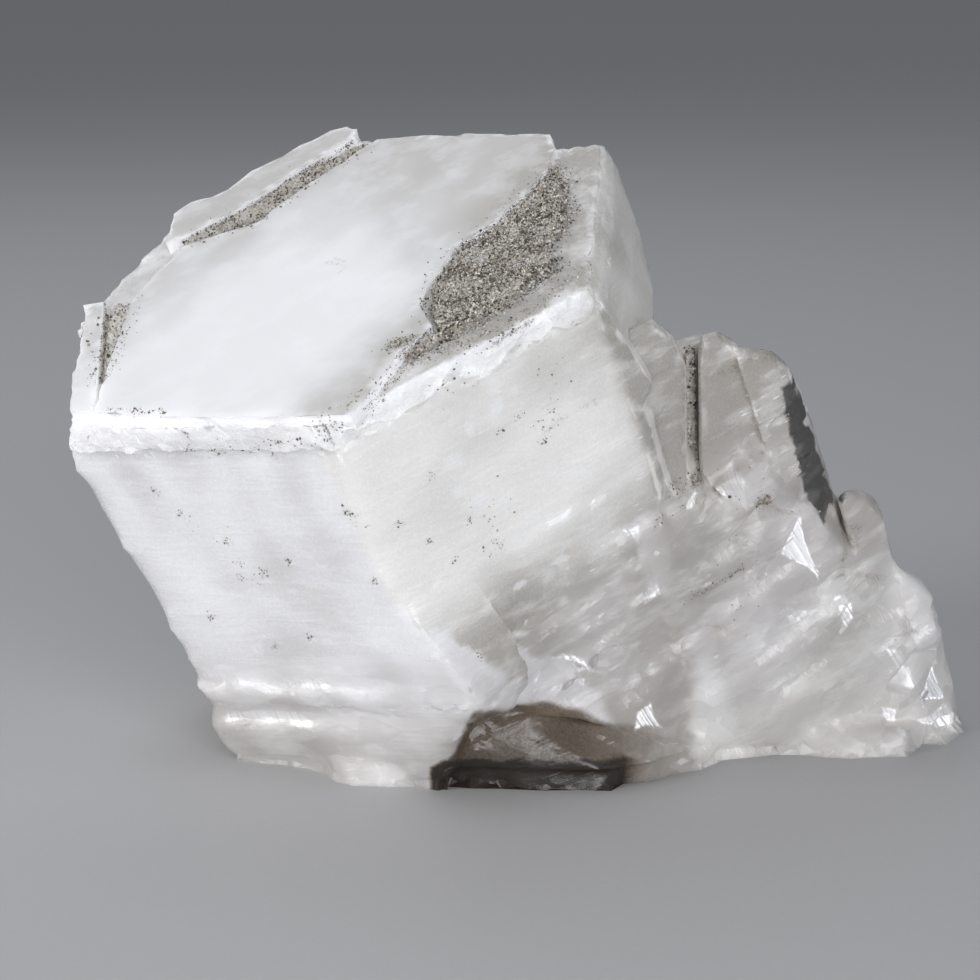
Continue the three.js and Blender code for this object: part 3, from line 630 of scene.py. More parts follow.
def bruises_and_glints(places, normals):
    """How much each place lies in one of the small white marks, partly bruises and partly painted glints."""
    mask = np.zeros(len(places))
    ragged = 0.5 * ripple(places, 0.7, 25)
    for facing, marks in BRUISES_AND_GLINTS.items():
        near = (distance_out(places, facing) > 30) & (normals @ side_normal(facing) > 0)
        for along, level, width, height in marks:
            u = (place_along(places, facing) - along) / width
            v = (places[:, 2] - level) / height
            mask = np.maximum(mask, near * ramp(u * u + v * v + ragged, 1.9, 0.5))
    return mask


def healed(places, normals):
    """Fills the smooth places: their points move onto a curved sheet through the calcite round them."""
    places = places.copy()
    for facing, along, level, reach in SMOOTH_PLACES:
        angle = math.radians(facing)
        u = place_along(places, facing) - along
        v = places[:, 2] - level
        out = distance_out(places, facing)
        away = np.hypot(u, v)
        near = (away < 1.7 * reach) & (out > 24) & (normals @ side_normal(facing) > 0.1)
        terms = np.stack([np.ones_like(u), u, v, u * u, u * v, v * v], axis=1)
        ring = near & (away > reach)
        sheet = terms @ np.linalg.lstsq(terms[ring], out[ring], rcond=None)[0]
        share = near * ramp(away, 1.25 * reach, 0.75 * reach)
        outward = np.array([math.cos(angle), math.sin(angle), 0])
        places += (share * (sheet - out))[:, None] * outward
    return places


def side_normal(facing):
    angle = math.radians(facing)
    return np.array(AXES @ Vector((math.cos(angle), math.sin(angle), 0)))


def marked_cells():
    """The cells that hold a mark, for each side: the place along it, then the level."""
    outlines = [(facing, np.array(outline)) for facing, _, outline in SHINING_FACETS + CLEAR_SHADED_FACETS]
    for facing, marks in BRUISES_AND_GLINTS.items():
        for along, level, width, height in marks:
            corners = [(along - width, level - height), (along + width, level + height)]
            outlines.append((facing, np.array(corners)))
    grids = {}
    for facing, outline in outlines:
        grid = grids.setdefault(facing, np.zeros((CELLS, CELLS), bool))
        first = ((outline.min(axis=0) - CELL + CELLS_START) / CELL).astype(int)
        last = ((outline.max(axis=0) + CELL + CELLS_START) / CELL).astype(int) + 1
        grid[first[0]:last[0], first[1]:last[1]] = True
    return grids


def longest_edges(settings):
    """The longest mesh edge that each place may have: short where the calcite is broken or marked."""
    starts = [np.array(a) for line, _, _ in DIRT_LINES for a in line[:-1]]
    ends = [np.array(b) for line, _, _ in DIRT_LINES for b in line[1:]]
    grids = marked_cells()

    def longest(middles):
        places = crystal_places(middles)
        level = places[:, 2]
        world_y, height = middles[:, 1] / MM, middles[:, 2] / MM
        front = ramp(world_y, 20, 8)
        right = distance_out(places, RIGHT)
        fine = ramp(right, 24, 29) * front
        fine = np.maximum(fine, ramp(level, -40, -44) * front)
        fine = np.maximum(fine, ramp(level, -0.3, -0.6) * ramp(level, -9, -7) * front)
        fine = np.maximum(fine, 0.25 * ramp(world_y, 16, 24))
        size = settings.plain_edge + fine * (settings.fine_edge - settings.plain_edge)
        marked = ramp(distances_to_lines(places, starts, ends), 1.8, 0.8)
        for facing, grid in grids.items():
            cell = (np.stack([place_along(places, facing), level], axis=1) + CELLS_START) / CELL
            cell = np.clip(cell.astype(int), 0, CELLS - 1)
            marked = np.maximum(marked, grid[cell[:, 0], cell[:, 1]] & (distance_out(places, facing) > 30))
        size = size + marked * (FINEST * MM - size)
        cream = np.abs(places[:, 0] - np.interp(level, CREAM_LEVELS, CREAM_STARTS)) < 1.2
        cream &= (distance_out(places, FRONT) > 32) & (level < -6) & (level > -44)
        size = np.where(cream, np.minimum(size, 0.8 * MM), size)
        return np.where(height < 0.01, 6 * MM, size)

    return longest


def softened(places, faces, weight, rounds):
    """Draws each place toward the middle of its neighbours, by a weight from 0 to 1."""
    sides = np.sort(faces[:, [[0, 1], [1, 2], [2, 0]]].reshape(-1, 2), axis=1)
    keys = np.unique(sides[:, 0] * len(places) + sides[:, 1])
    first, second = keys // len(places), keys % len(places)
    size = len(places)
    count = np.bincount(first, minlength=size) + np.bincount(second, minlength=size)
    places = places.copy()
    for _ in range(rounds):
        total = np.stack([
            np.bincount(first, places[second, k], size) + np.bincount(second, places[first, k], size)
            for k in range(3)
        ], axis=1)
        places += 0.6 * weight[:, None] * (total / np.maximum(count, 1)[:, None] - places)
    return places


class CALCITE_OT_crystals(bpy.types.Operator):
    """Build the calcite crystals, with their cleavage steps, chipped edges and dirt"""

    bl_idname = "calcite.crystals"
    bl_label = "Crystals"

    def execute(self, context):
        settings = context.scene.calcite_settings
        points, faces, ridges = flat_faces("calcite_crystals")
        points, faces = refined(points, faces, longest_edges(settings), FINEST * MM)
        normals = point_normals(points, faces)
        places = crystal_places(points)
        masks = zones(points, places, normals)
        near_ridge = distances_to_ridges(places, [crystal_places(ridge) for ridge in ridges])
        places = healed(places, normals)
        places = softened(places, faces, masks["smooth"], SMOOTH_ROUNDS)
        places = softened(places, faces, masks["worn"], WORN_ROUNDS)
        patches = ramp(ripple(places, 9, 5), -0.2, 0.8)
        small_patches = ramp(ripple(places, 5, 6), 0.2, 0.9)
        step = settings.step_height / MM
        shift = (cleaved(places, 5.5, 0.3 * step, 11) - places) * (masks["broken"] * patches)[:, None]
        fine = 0.7 * masks["broken"] * small_patches + masks["rough_band"]
        shift += (cleaved(places, 1.7, 0.5 * step, 12) - places) * fine[:, None]
        inward = -(normals @ np.array(AXES))
        sway = 0.16 * ripple(places * (0.5, 0.5, 1.3), 7, 7) + 0.05 * ripple(places * (0.6, 0.6, 1.5), 2.4, 8)
        shift += inward * (masks["broken"] * sway)[:, None]
        # Chipped edges: the chips are cut into the mesh, and the same field whitens them in colour, a white
        # bruise with a painted highlight along the convex edges.
        bruise_and_glint = np.clip(ripple(places, 2.2, 21) + 0.6 * ripple(places, 0.9, 22), 0, 1)
        bruise_and_glint *= 0.7 * ramp(near_ridge, 1.0, 0.1) * (1 - 0.8 * masks["worn"]) * (1 - masks["smooth"])
        shift = shift + inward * (settings.chip_depth / MM * bruise_and_glint)[:, None]
        moved = (places + shift) @ np.array(AXES).T * MM + np.array(END_CENTRE)
        resting = points[:, 2] < 0.02 * MM
        moved[resting] = points[resting]
        low, high = (np.array(corner) for corner in CAD_BOX)
        points = np.clip(moved, low, high)
        attributes = {key: masks[key] for key in ("broken", "plate", "satin", "rough_band", "clear_shaded_side")}
        attributes.update(tones(points, places, masks))
        crumbs = inside_outlines(places, normals, CRUMBLY_PATCHES, 3)
        crumbs = crumbs * ramp(ripple(places, 1.7, 23) + 0.7 * ripple(places, 0.8, 24), -0.1, 0.8)
        # White in colour: bruised edges with a painted highlight, crumbs, and white marks that are partly
        # painted glints.
        attributes["bruise_and_glint"] = np.clip(bruise_and_glint * 1.4 + crumbs + 1.3 * bruises_and_glints(places, normals), 0, 1)
        attributes["soiled"] = soiled(places)
        attributes["shining"] = inside_outlines(places, normals, SHINING_FACETS, 0.4)
        piece = new_piece("calcite", points, faces, attributes, calcite_material(settings))
        shade_smooth(piece)
        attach(piece, "root")
        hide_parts("calcite_crystals")
        return {"FINISHED"}


def soiled(places):
    """How dirty each place is, from the dirt lines."""
    dirt = np.zeros(len(places))
    for line, width, darkness in DIRT_LINES:
        line = np.array(line)
        away = distances_to_lines(places, line[:-1], line[1:])
        away = away + 0.45 * width * ripple(places, 1.8, 31)
        dirt = np.maximum(dirt, darkness * ramp(away, 1.3 * width, 0.35 * width))
    return dirt


def tones(points, places, masks):
    """Where the calcite is clear and grey, where it is creamy, and where it is brown, a stain with painted
    shade.
    """
    level = places[:, 2]
    right = distance_out(places, RIGHT)
    x, height = points[:, 0] / MM, points[:, 2] / MM
    clouds = np.clip(0.5 + 0.5 * ripple(places, 13, 51), 0, 1)
    wisps = np.clip(0.5 + 0.5 * ripple(places * (1, 0.6, 1), 5.5, 52), 0, 1)
    # The end face is whitest a little to the front left of its middle and greyer to the right and beside the
    # right crust: milky clouds, with a painted sheen where it is whitest and painted shade to the right.
    from_milk_and_sheen = np.hypot(places[:, 0] + 7, 0.8 * (places[:, 1] + 16)) + 7 * (wisps - 0.5) + 5 * (clouds - 0.5)
    end_face = 0.65 * ramp(from_milk_and_sheen, 12, 42) + 0.32 * ramp(places[:, 0], 8, 18)
    end_face = end_face + 0.6 * ramp(places[:, 0], 25, 30) * ramp(places[:, 1], -20, -14)
    front = 0.06 + 0.42 * ramp(level, -28, -58)
    front_right = 0.35 * ramp(right, 21, 34) + 0.85 * ramp(level, -27, -44)
    share = masks["front_right"]
    body = front + (front_right - front) * share
    body = body + masks["wedge"] * (0.82 - 0.72 * ramp(level, -54, -70) - body)
    body = body + masks["columns"] * (1 - body)
    body = body + masks["satin"] * (0.30 - body)
    body = body + 0.36 * (0.5 - clouds) + 0.24 * (0.5 - wisps)
    clear = body + masks["top"] * (end_face - body)
    warm = 0.8 * share * (1 - 0.6 * masks["wedge"]) + 0.8 * masks["satin"] + 0.3 * masks["columns"]
    # Below the ledge that overhangs the middle the calcite is painted brown, a stain with painted shade under
    # the overhang, and the foot is darkest, painted near black as shade.
    stray = 0.5 * ripple(places, 3, 53)
    ledge = np.interp(x, [-14, -7, 4, 12, 29, 36], [13.6, 14.2, 11.8, 8.0, 6.6, 4])
    start = np.interp(height, [5, 14], [-11.4, -7.9]) + 0.5 * stray
    hollow = ramp(x - start, -0.3, 0.5) * ramp(height - ledge + 0.6 * stray, 0.5, -0.7) * ramp(x, 26, 4)
    foot = ramp(height + stray, 4.7, 4.0) * ramp(x, -14.2, -13.4) * ramp(x, 17, 8) * (points[:, 1] < 0)
    return {
        "clear": np.clip(clear, 0, 1) * (1 - 0.2 * masks["rough_band"]),
        "warm": np.clip(warm + 0.6 * masks["low"], 0, 1) * (1 - masks["top"]),
        # The front is painted browner toward the bottom, partly stain and partly painted shade.
        "stain_and_shade": np.clip(foot + 0.58 * hollow + 0.16 * ramp(height, 20, 4) * (points[:, 1] < 0), 0, 1),
        "clouds": clouds,
    }


def calcite_material(settings):
    nodes = Nodes("milky_calcite")
    place = nodes.crystal_place()
    masks = {
        name: nodes.attribute(name)
        for name in (
            "broken", "plate", "satin", "bruise_and_glint", "soiled", "rough_band", "clear_shaded_side", "shining", "clear",
            "warm", "stain_and_shade", "clouds",
        )
    }
    plain = (1 - masks["broken"]).limited()
    veils = nodes.noise(place, 0.30, 4.0, 0.6, stretch=(0.35, 0.35, 1)).between(0.44, 0.64)
    fibres = nodes.noise(place, 1.5, 2.0, 0.6, stretch=(0.12, 0.12, 1)).between(0.40, 0.68)
    fine = nodes.noise(place, 2.4, 2.0, 0.6)

    # Milky clouds and veils lie in clearer, greyer calcite.
    body = nodes.mix(colour(settings.cool_white), colour(settings.warm_white), masks["warm"])
    clear = (masks["clear"] * (1.1 - 0.3 * veils) + (1 - veils) * plain * 0.05).limited()
    body = nodes.mix(body, colour(settings.grey), clear)
    lilac = masks["broken"] * masks["clouds"] * 0.45
    body = nodes.mix(body, colour((0.60, 0.57, 0.58)), lilac)
    # Painted shade: the clear facet of a column is painted near black.
    body = nodes.mix(body, colour((0.07, 0.068, 0.066)), masks["clear_shaded_side"] * (1.0 - 0.2 * veils))
    # Cleavage facets in the broken calcite, each of its own tone and slightly turned.
    facets = nodes.cells(place, (0.16, 0.16, 0.34), output="Color")
    facet_tone = nodes.add("ShaderNodeSeparateXYZ", {}, {"Vector": facets})
    body = nodes.mix(body, colour((0.36, 0.35, 0.342)), masks["broken"] * facet_tone.between(0.5, 1.0) * 0.22)

    # White where crushed, and painted highlights: chipped edges, whitened also as a painted highlight, the
    # rough band, fibres, and short dashes on the sides, which are painted glints.
    glint_dashes = nodes.cells(place, (0.30, 0.30, 1.5))
    glint_dashes = (1 - glint_dashes.between(0.10, 0.20)) * masks["clouds"].between(0.62, 0.72)
    sides = plain * (1 - masks["plate"])
    white = masks["bruise_and_glint"] * 0.6 + masks["rough_band"] * veils * 0.35 + glint_dashes * sides * 0.8
    white = (white + fibres * veils * (0.20 * sides + 0.10 * masks["broken"])).limited()
    white = white * (1 - masks["stain_and_shade"] * 0.8 - masks["clear_shaded_side"]).limited()
    body = nodes.mix(body, colour((0.93, 0.93, 0.94)), white)
    # Stain and painted shade: brown under the ledge, and near black at the foot as painted shade.
    stain_and_shade = (masks["stain_and_shade"] * (0.8 + 0.4 * fine)).limited()
    body = nodes.mix(body, colour(settings.stain_and_shade), stain_and_shade.between(0.0, 0.75))
    body = nodes.mix(body, colour((0.025, 0.018, 0.014)), stain_and_shade.between(0.6, 0.95))
    striations = nodes.streaks(place, (0.2, 0.42, 0.88), 2.4, 3.0, 0.7)
    grooves = nodes.streaks(place, (0.9, 0.45, 0.2), 2.6, 2.0, 0.6)
    # Painted highlight: the shining cracks are painted near white along their grooves.
    shine = masks["shining"] * (0.4 + 0.75 * grooves.between(0.38, 0.55)).limited()
    body = nodes.mix(body, colour((0.97, 0.97, 1.0)), shine)

    # Dirt in fine grains along its lines.
    grains = fine.between(0.48, 0.58)
    dirt = (masks["soiled"] * (grains * 0.85 + 0.15)).limited()
    body = nodes.mix(body, colour(settings.dirt), dirt)

    # Fine steps across the long axis, slanting striations on the satin side and on shining facets.
    height = fibres * (sides * 0.035 + masks["broken"] * 0.03)
    height = height + striations * (masks["satin"] * 0.12)
    height = height + grooves * (masks["shining"] * 0.10 + masks["clear_shaded_side"] * 0.12)
    height = height + fine * (masks["rough_band"] * 0.24 + masks["broken"] * 0.04 + 0.006)
    bump = nodes.bump(1.0, 1.0 * MM, height)
    turn = nodes.add("ShaderNodeVectorMath", {"operation": "SCALE"},
                     {0: nodes.vector("SUBTRACT", facets, (0.5, 0.5, 0.5)), "Scale": masks["broken"] * 0.14})
    bump = nodes.vector("ADD", bump, turn)
    # A crack that shines throws the light back as if it lay square to it.
    turned = nodes.add("ShaderNodeCombineXYZ", {}, dict(enumerate(SHINE_NORMAL)))
    normal = nodes.add("ShaderNodeMix", {"data_type": "VECTOR"},
                       {"Factor": shine * 0.85, 4: bump, 5: turned}, output=1)
    normal = nodes.vector("NORMALIZE", normal, (0, 0, 0))

    roughness = 0.15 + 0.08 * fine + 0.25 * masks["satin"] + 0.20 * masks["broken"] + 0.08 * sides
    roughness = roughness + 0.12 * masks["plate"]
    roughness = roughness + 0.20 * masks["rough_band"] + 0.35 * dirt + 0.12 * masks["shining"] * grooves
    return nodes.finish(
        {"subsurface_method": "BURLEY"},
        Base_Color=body, Roughness=roughness, Metallic=shine * 0.7, Normal=normal, IOR=1.6,
        Subsurface_Weight=0.7, Subsurface_Radius=(1.0, 0.96, 0.9), Subsurface_Scale=4.5 * MM)


# ------------------------------------------------------------------ druse

# Grain forms: points on a unit grain and the triangles between them.
RHOMB = (
    [(0, 0, 0.75), (0.5, 0.1, 0.25), (-0.16, 0.49, 0.25), (-0.34, -0.38, 0.25),
     (0.34, 0.38, -0.25), (-0.5, -0.1, -0.25), (0.16, -0.49, -0.25), (0, 0, -0.75)],
    [(0, 1, 2), (0, 2, 3), (0, 3, 1), (1, 4, 2), (2, 5, 3), (3, 6, 1),
     (7, 5, 4), (7, 6, 5), (7, 4, 6), (1, 6, 4), (2, 4, 5), (3, 5, 6)],
)
WEDGE_GRAIN = (
    [(0.6, 0, 0), (0, 0.45, 0), (-0.55, 0, 0), (0, -0.45, 0), (0.05, 0.05, 0.6), (0, 0, -0.5)],
    [(0, 1, 4), (1, 2, 4), (2, 3, 4), (3, 0, 4), (1, 0, 5), (2, 1, 5), (3, 2, 5), (0, 3, 5)],
)

# Loose grains on the calcite beside the crusts: along these lines (s, t, n), how many, how far they
# stray and how dark they are.
GRAIN_TRAILS = [
    ([(21.7, -18.1, -1.3), (21.0, -24.2, -1.4), (20.3, -30.2, -1.6), (18.2, -34.8, -1.6), (14.9, -38.7, -2)],
     420, 0.8, 0.55),
    ([(17.6, -20.2, -0.6), (20.2, -18.2, -0.8)], 420, 0.75, 0.75),
    ([(24.0, -19.5, -1.4), (29.0, -16.5, -1.6), (34.0, -9.0, -1.6), (37.0, 2.0, -1.6)], 420, 0.9, 0.4),
    ([(-21.3, -34.1, 0), (-15.7, -34.7, 0), (-10.2, -35.3, 0)], 60, 0.35, 0.7),
    ([(-7.6, -36.5, -5.4), (0.8, -36.5, -4.9), (7.8, -36.5, -3.9), (15.9, -36.5, -3.7)], 80, 0.7, 0.6),
    ([(-35.9, -8.1, 0), (-31.1, -17.7, 0), (-26.3, -28.2, 0)], 150, 0.9, 0.45),
    ([(31.0, -16.7, -2.4), (32.9, -13.9, -2.2), (35.0, -11.2, -2.0)], 60, 0.25, 0.8),
    ([(38.5, -0.8, -36.9), (40.2, 1.5, -37.5), (42.1, 4.0, -37.9)], 160, 0.8, 0.7),
    ([(25.0, -23.0, -4.0), (27.0, -20.5, -6.0)], 40, 1.6, 0.6),
    ([(35.0, -10.5, -9.0), (33.6, -12.5, -16.0), (32.2, -14.2, -19.1)], 46, 1.3, 0.8),
    ([(27.3, -20.9, -22.7), (24.6, -24.5, -30.9)], 34, 1.6, 0.8),
    ([(-13.8, -36.2, -15.4), (-4.8, -36.2, -26.2), (-8.0, -36.2, -27.5)], 24, 1.2, 0.7),
    ([(13.5, -36.2, -15.3), (15.0, -35.5, -18.0)], 16, 0.6, 0.8),
    ([(39.6, -6.6, -38.5), (43.4, -2.4, -38.0), (46.4, 0.9, -37.8)], 60, 0.25, 0.9),
    ([(40.0, -6.2, -51.9), (43.2, -2.6, -51.6), (46.5, 1.1, -51.2)], 60, 0.4, 0.8),
    ([(50.3, 5.0, -43.2), (50.6, 5.4, -42.0)], 60, 0.5, 1.0),
    ([(59.8, 11.6, -46.9), (59.6, 11.3, -51.0)], 60, 1.3, 0.6),
    ([(62.7, 13.3, -65.4), (62.5, 13.0, -69.5)], 50, 1.2, 0.6),
    ([(48.0, 5.5, -40.0), (46.0, 2.5, -50.0), (44.0, -0.5, -58.0)], 60, 2.5, 0.6),
]

# Specks of grains here and there: the middle of each group.
GRAIN_SPOTS = [
    (-6.6, -36.8, -2.7), (-7.7, -36.8, -5.1), (7.5, -37.0, -4.1), (5.4, -36.2, -6.6),
    (-17.1, -36.1, -12.2), (-14.1, -36.0, -15.9), (-8.2, -36.0, -20.6), (-7.5, -36.0, -24.3),
    (-4.4, -36.0, -25.9), (-8.6, -35.9, -26.8), (0.8, -35.9, -24.3), (13.7, -36.0, -15.9),
    (22.4, -27.4, -16.1), (20.4, -30.2, -24.4), (-16.3, -36.3, -33.4), (-0.5, -36.1, -37.0),
    (-7.3, -36.6, -38.3), (13.7, -35.9, -27.1), (18.3, -32.9, -19.7), (22.8, -32.0, -42.3),
    (29.0, -18.6, -14.5), (31.0, -15.9, -13.9), (32.2, -14.1, -19.2), (24.0, -25.2, -24.6),
    (21.7, -28.4, -29.0), (25.7, -23.1, -30.2),
]


def scattered(points, faces, spacing, rng):
    """Places spread over triangles, no two nearer than the spacing: places and their triangles."""
    normals = face_normals(points, faces)
    areas = np.linalg.norm(normals, axis=1) / 2
    count = int(areas.sum() / (spacing * spacing) * 1.9)
    chosen = rng.choice(len(faces), count, p=areas / areas.sum())
    first, second = rng.random(count), rng.random(count)
    over = first + second > 1
    first[over], second[over] = 1 - first[over], 1 - second[over]
    corner = points[faces[chosen]]
    places = corner[:, 0] + first[:, None] * (corner[:, 1] - corner[:, 0])
    places += second[:, None] * (corner[:, 2] - corner[:, 0])
    kept = thinned(places, spacing)
    return places[kept], chosen[kept]


def thinned(places, spacing):
    """The places that are left when none may be nearer another than the spacing."""
    cells = {}
    kept = []
    for i, place in enumerate(places):
        cell = tuple(np.floor(place / spacing).astype(int))
        around = [
            cells.get((cell[0] + x, cell[1] + y, cell[2] + z), ())
            for x in (-1, 0, 1) for y in (-1, 0, 1) for z in (-1, 0, 1)
        ]
        if all(np.sum((place - places[j]) ** 2) >= spacing * spacing for near in around for j in near):
            cells.setdefault(cell, []).append(i)
            kept.append(i)
    return np.array(kept)


def grains(places, directions, sizes, tints, rng):
    """Small crystals on these places, each turned at random about its direction: points, faces, tints."""
    all_points, all_faces, all_tints, base = [], [], [], 0
    for i, place in enumerate(places):
        form, triangles = RHOMB if rng.random() < 0.6 else WEDGE_GRAIN
        lean = Vector(directions[i]) + Vector(rng.normal(size=3)) * 0.55
        turn = lean.to_track_quat("Z", "Y").to_matrix() @ Matrix.Rotation(rng.uniform(0, 6.28), 3, "Z")
        stretch = sizes[i] * rng.uniform((0.8, 0.8, 0.75), (1.15, 1.15, 1.25))
        all_points.append((np.array(form) * stretch) @ np.array(turn).T + place)
        all_faces.append(np.array(triangles) + base)
        all_tints.append(np.full(len(form), tints[i]))
        base += len(form)
    return np.concatenate(all_points), np.concatenate(all_faces), np.concatenate(all_tints)


def grain_sizes(count, usual, rng):
    return usual * np.clip(rng.lognormal(0, 0.38, count), 0.5, 2.3)


# Each crust: how far apart its grains are beside the right one's, and the tint of the sheet under them.
CRUSTS = {"right": (1.0, 0.35), "back": (1.5, 0.05), "left": (2.2, 0.85), "crevice": (1.6, 0.1)}


def crust_up(side):
    """The direction that a crust faces."""
    return side_normal(FRONT_RIGHT) if side == "crevice" else np.array(AXES.col[2])


def grain_crust(side, settings, seed, surface):
    """A crust, as points, faces and tints: its CAD sheet, laid down, and the grains that grow on it."""
    sparseness, sheet_tint = CRUSTS[side]
    rng = np.random.default_rng(seed)
    points, faces, _ = flat_faces("druse_" + side)
    points, faces = refined(points, faces, lambda middles: np.full(len(middles), FINEST * MM), FINEST * MM)
    up = crust_up(side)
    top_faces = faces[unit(face_normals(points, faces)) @ up > 0.4]
    points = laid_down(points, top_faces, up, surface, seed)
    spots, chosen = scattered(points, top_faces, sparseness * settings.grain_spacing, rng)
    directions = unit(face_normals(points, top_faces)[chosen])
    sizes = grain_sizes(len(spots), settings.grain_size, rng)
    tints = grain_tints(spots, rng)
    spots = spots + directions * (0.22 * MM - 0.42 * sizes[:, None])
    grain_points, grain_faces, grain_shades = grains(spots, directions, sizes, tints, rng)
    all_points = np.concatenate([points, grain_points])
    all_faces = np.concatenate([faces, grain_faces + len(points)])
    return all_points, all_faces, np.concatenate([np.full(len(points), sheet_tint), grain_shades])


def walled_in(point, up, surface):
    """Whether the calcite just beside a point of a sheet's outline is about as high as the sheet."""
    across = Vector(up).orthogonal().normalized()
    beside = Vector(up).cross(across)
    for i in range(8):
        away = across * math.cos(i * math.tau / 8) + beside * math.sin(i * math.tau / 8)
        start = Vector(point) + away * 1.0 * MM + Vector(up) * PROBE
        spot, _, _, depth = surface.ray_cast(start, Vector(-up), PROBE_REACH)
        if spot and depth < PROBE + 0.3 * MM:
            return True
    return False


def laid_down(points, top_faces, up, surface, seed):
    """A sheet's points, its top sunk a little and, where its outline is free, laid onto the calcite."""
    sides = np.sort(top_faces[:, [[0, 1], [1, 2], [2, 0]]].reshape(-1, 2), axis=1)
    keys, counts = np.unique(sides[:, 0] * len(points) + sides[:, 1], return_counts=True)
    rim = np.unique([keys[counts == 1] // len(points), keys[counts == 1] % len(points)])
    free = [vertex for vertex in rim if not walled_in(points[vertex], up, surface)]
    tree = search_tree(points[free])
    top = np.unique(top_faces)
    points = points.copy()
    under = np.ones(len(points), bool)
    under[top] = False
    points[under] -= up * UNDERSIDE_SINK
    places = crystal_places(points[top])
    from_rim = np.array([tree.find(point)[2] if free else 1 for point in points[top]]) / MM
    share = ramp(from_rim + 0.5 * ripple(places, 1.4, seed), 0.0, RIM_WIDTH)
    rough = 0.07 * MM * ripple(places, 0.8, seed + 1)
    for i, vertex in enumerate(top):
        spot, _, _, away = surface.ray_cast(Vector(points[vertex] + up * PROBE), Vector(-up), PROBE_REACH)
        height = max(away - PROBE, 0) if spot else 0
        points[vertex] -= up * (SHEET_SINK + height * (1 - share[i]) - rough[i])
    return points


def fringe(side, rng):
    """Places strewn outward from a crust's outline, fewer farther out."""
    points, faces, _ = flat_faces("druse_" + side)
    outward = face_normals(points, faces)
    lengths = np.linalg.norm(outward, axis=1)
    walls = np.abs(outward @ crust_up(side)) < 0.3 * lengths
    spots, chosen = scattered(points, faces[walls], 0.14 * MM, rng)
    away = unit(outward)[walls][chosen]
    return spots + away * rng.exponential(0.5 * MM, len(spots))[:, None]


def grain_tints(spots, rng):
    """0 for the palest grey-beige, rising to dark brown at 0.7; about 0.85 is clear, 1 is brassy."""
    patches = ripple(crystal_places(spots), 3.4, 41)
    tints = np.clip(0.08 + 0.5 * rng.random(len(spots)) ** 1.6 + 0.12 * patches, 0, 0.6)
    kind = rng.random(len(spots))
    tints[kind < 0.16 + 0.08 * patches] = 0.7
    tints[kind > 0.80] = 0.85
    tints[kind > 0.985] = 1.0
    return tints


class DRUSE_OT_crusts(bpy.types.Operator):
    """Grow the grains of the four drusy crusts"""

    bl_idname = "druse.crusts"
    bl_label = "Drusy crusts"

    def execute(self, context):
        settings = context.scene.druse_settings
        material = druse_material()
        surface = surface_of("calcite", context)
        for i, side in enumerate(CRUSTS):
            points, faces, tints = grain_crust(side, settings, settings.seed + i, surface)
            piece = new_piece("druse_grains_" + side, points, faces, {"tint": tints}, material)
            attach(piece, "root")
            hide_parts("druse_" + side)
        return {"FINISHED"}


class DRUSE_OT_loose_grains(bpy.types.Operator):
    """Scatter loose grains on the calcite beside the crusts and along its rims"""

    bl_idname = "druse.loose_grains"
    bl_label = "Loose grains"

    def execute(self, context):
        settings = context.scene.druse_settings
        rng = np.random.default_rng(settings.seed + 50)
        surface = surface_of("calcite", context)
        spots, directions, tints = [], [], []
        groups = [([spot, spot], 14, 0.35, 0.7) for spot in GRAIN_SPOTS]
        for line, count, stray, darkness in GRAIN_TRAILS + groups:
            line = np.array(line)
            for _ in range(count):
                at = rng.uniform(0, len(line) - 1)
                start = line[int(at)]
                place = start + (line[int(at) + 1] - start) * (at - int(at)) + rng.normal(size=3) * stray
                world = AXES @ Vector(place) * MM + END_CENTRE
                spot, normal, _, away = surface.find_nearest(world)
                if away < 2.2 * MM:
                    spots.append(spot)
                    directions.append(normal)
                    dark = rng.random() < darkness
                    tints.append(rng.uniform(0.42, 0.66) if dark else rng.choice([0.2, 0.4, 0.85]))
        for side in CRUSTS:
            for place in fringe(side, rng):
                spot, normal, _, away = surface.find_nearest(place)
                if away < 1.5 * MM:
                    spots.append(spot)
                    directions.append(normal)
                    tints.append(rng.choice([0.1, 0.3, 0.5, 0.65, 0.7, 0.85]))
        spots, directions = np.array(spots), np.array(directions)
        sizes = grain_sizes(len(spots), 0.62 * settings.grain_size, rng)
        kept = thinned(spots, 0.8 * settings.grain_spacing)
        spots, directions, sizes = spots[kept], directions[kept], sizes[kept]
        points, faces, shades = grains(spots, directions, sizes, np.array(tints)[kept], rng)
        low, high = (np.array(corner) for corner in CAD_BOX)
        points = np.clip(points, low, high)
        piece = new_piece("loose_grains", points, faces, {"tint": shades}, druse_material())
        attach(piece, "root")
        return {"FINISHED"}


def druse_material():
    if "drusy_grains" in bpy.data.materials:
        return bpy.data.materials["drusy_grains"]
    nodes = Nodes("drusy_grains")
    place = nodes.crystal_place()
    tint = nodes.attribute("tint")
    ramp_node = nodes.add("ShaderNodeValToRGB", {}, {"Fac": tint})
    stops = ramp_node.socket.node.color_ramp
    shades = [
        (0.0, (0.66, 0.63, 0.59)), (0.3, (0.42, 0.385, 0.34)), (0.55, (0.17, 0.14, 0.105)),
        (0.7, (0.055, 0.042, 0.03)), (0.78, (0.74, 0.72, 0.69)), (0.92, (0.78, 0.76, 0.73)),
        (1.0, (0.62, 0.5, 0.3)),
    ]
    for position, shade in shades[1:-1]:
        stops.elements.new(position).color = colour(shade)
    stops.elements[0].color, stops.elements[-1].color = colour(shades[0][1]), colour(shades[-1][1])
    mottle = nodes.noise(place, 3.0, 3.0, 0.6).between(0.3, 0.7)
    body = nodes.mix(ramp_node, colour((0.10, 0.08, 0.055)), (1 - mottle) * 0.28)
    metal = tint.between(0.96, 0.99)
    roughness = 0.30 + 0.2 * mottle - 0.12 * tint.between(0.72, 0.8)
    pits = nodes.noise(place, 9.0, 2.0, 0.5)
    bump = nodes.bump(0.5, 0.06 * MM, pits)
    return nodes.finish({}, Base_Color=body, Roughness=roughness, Metallic=metal, Normal=bump, IOR=1.6)


# ------------------------------------------------------------------ stage


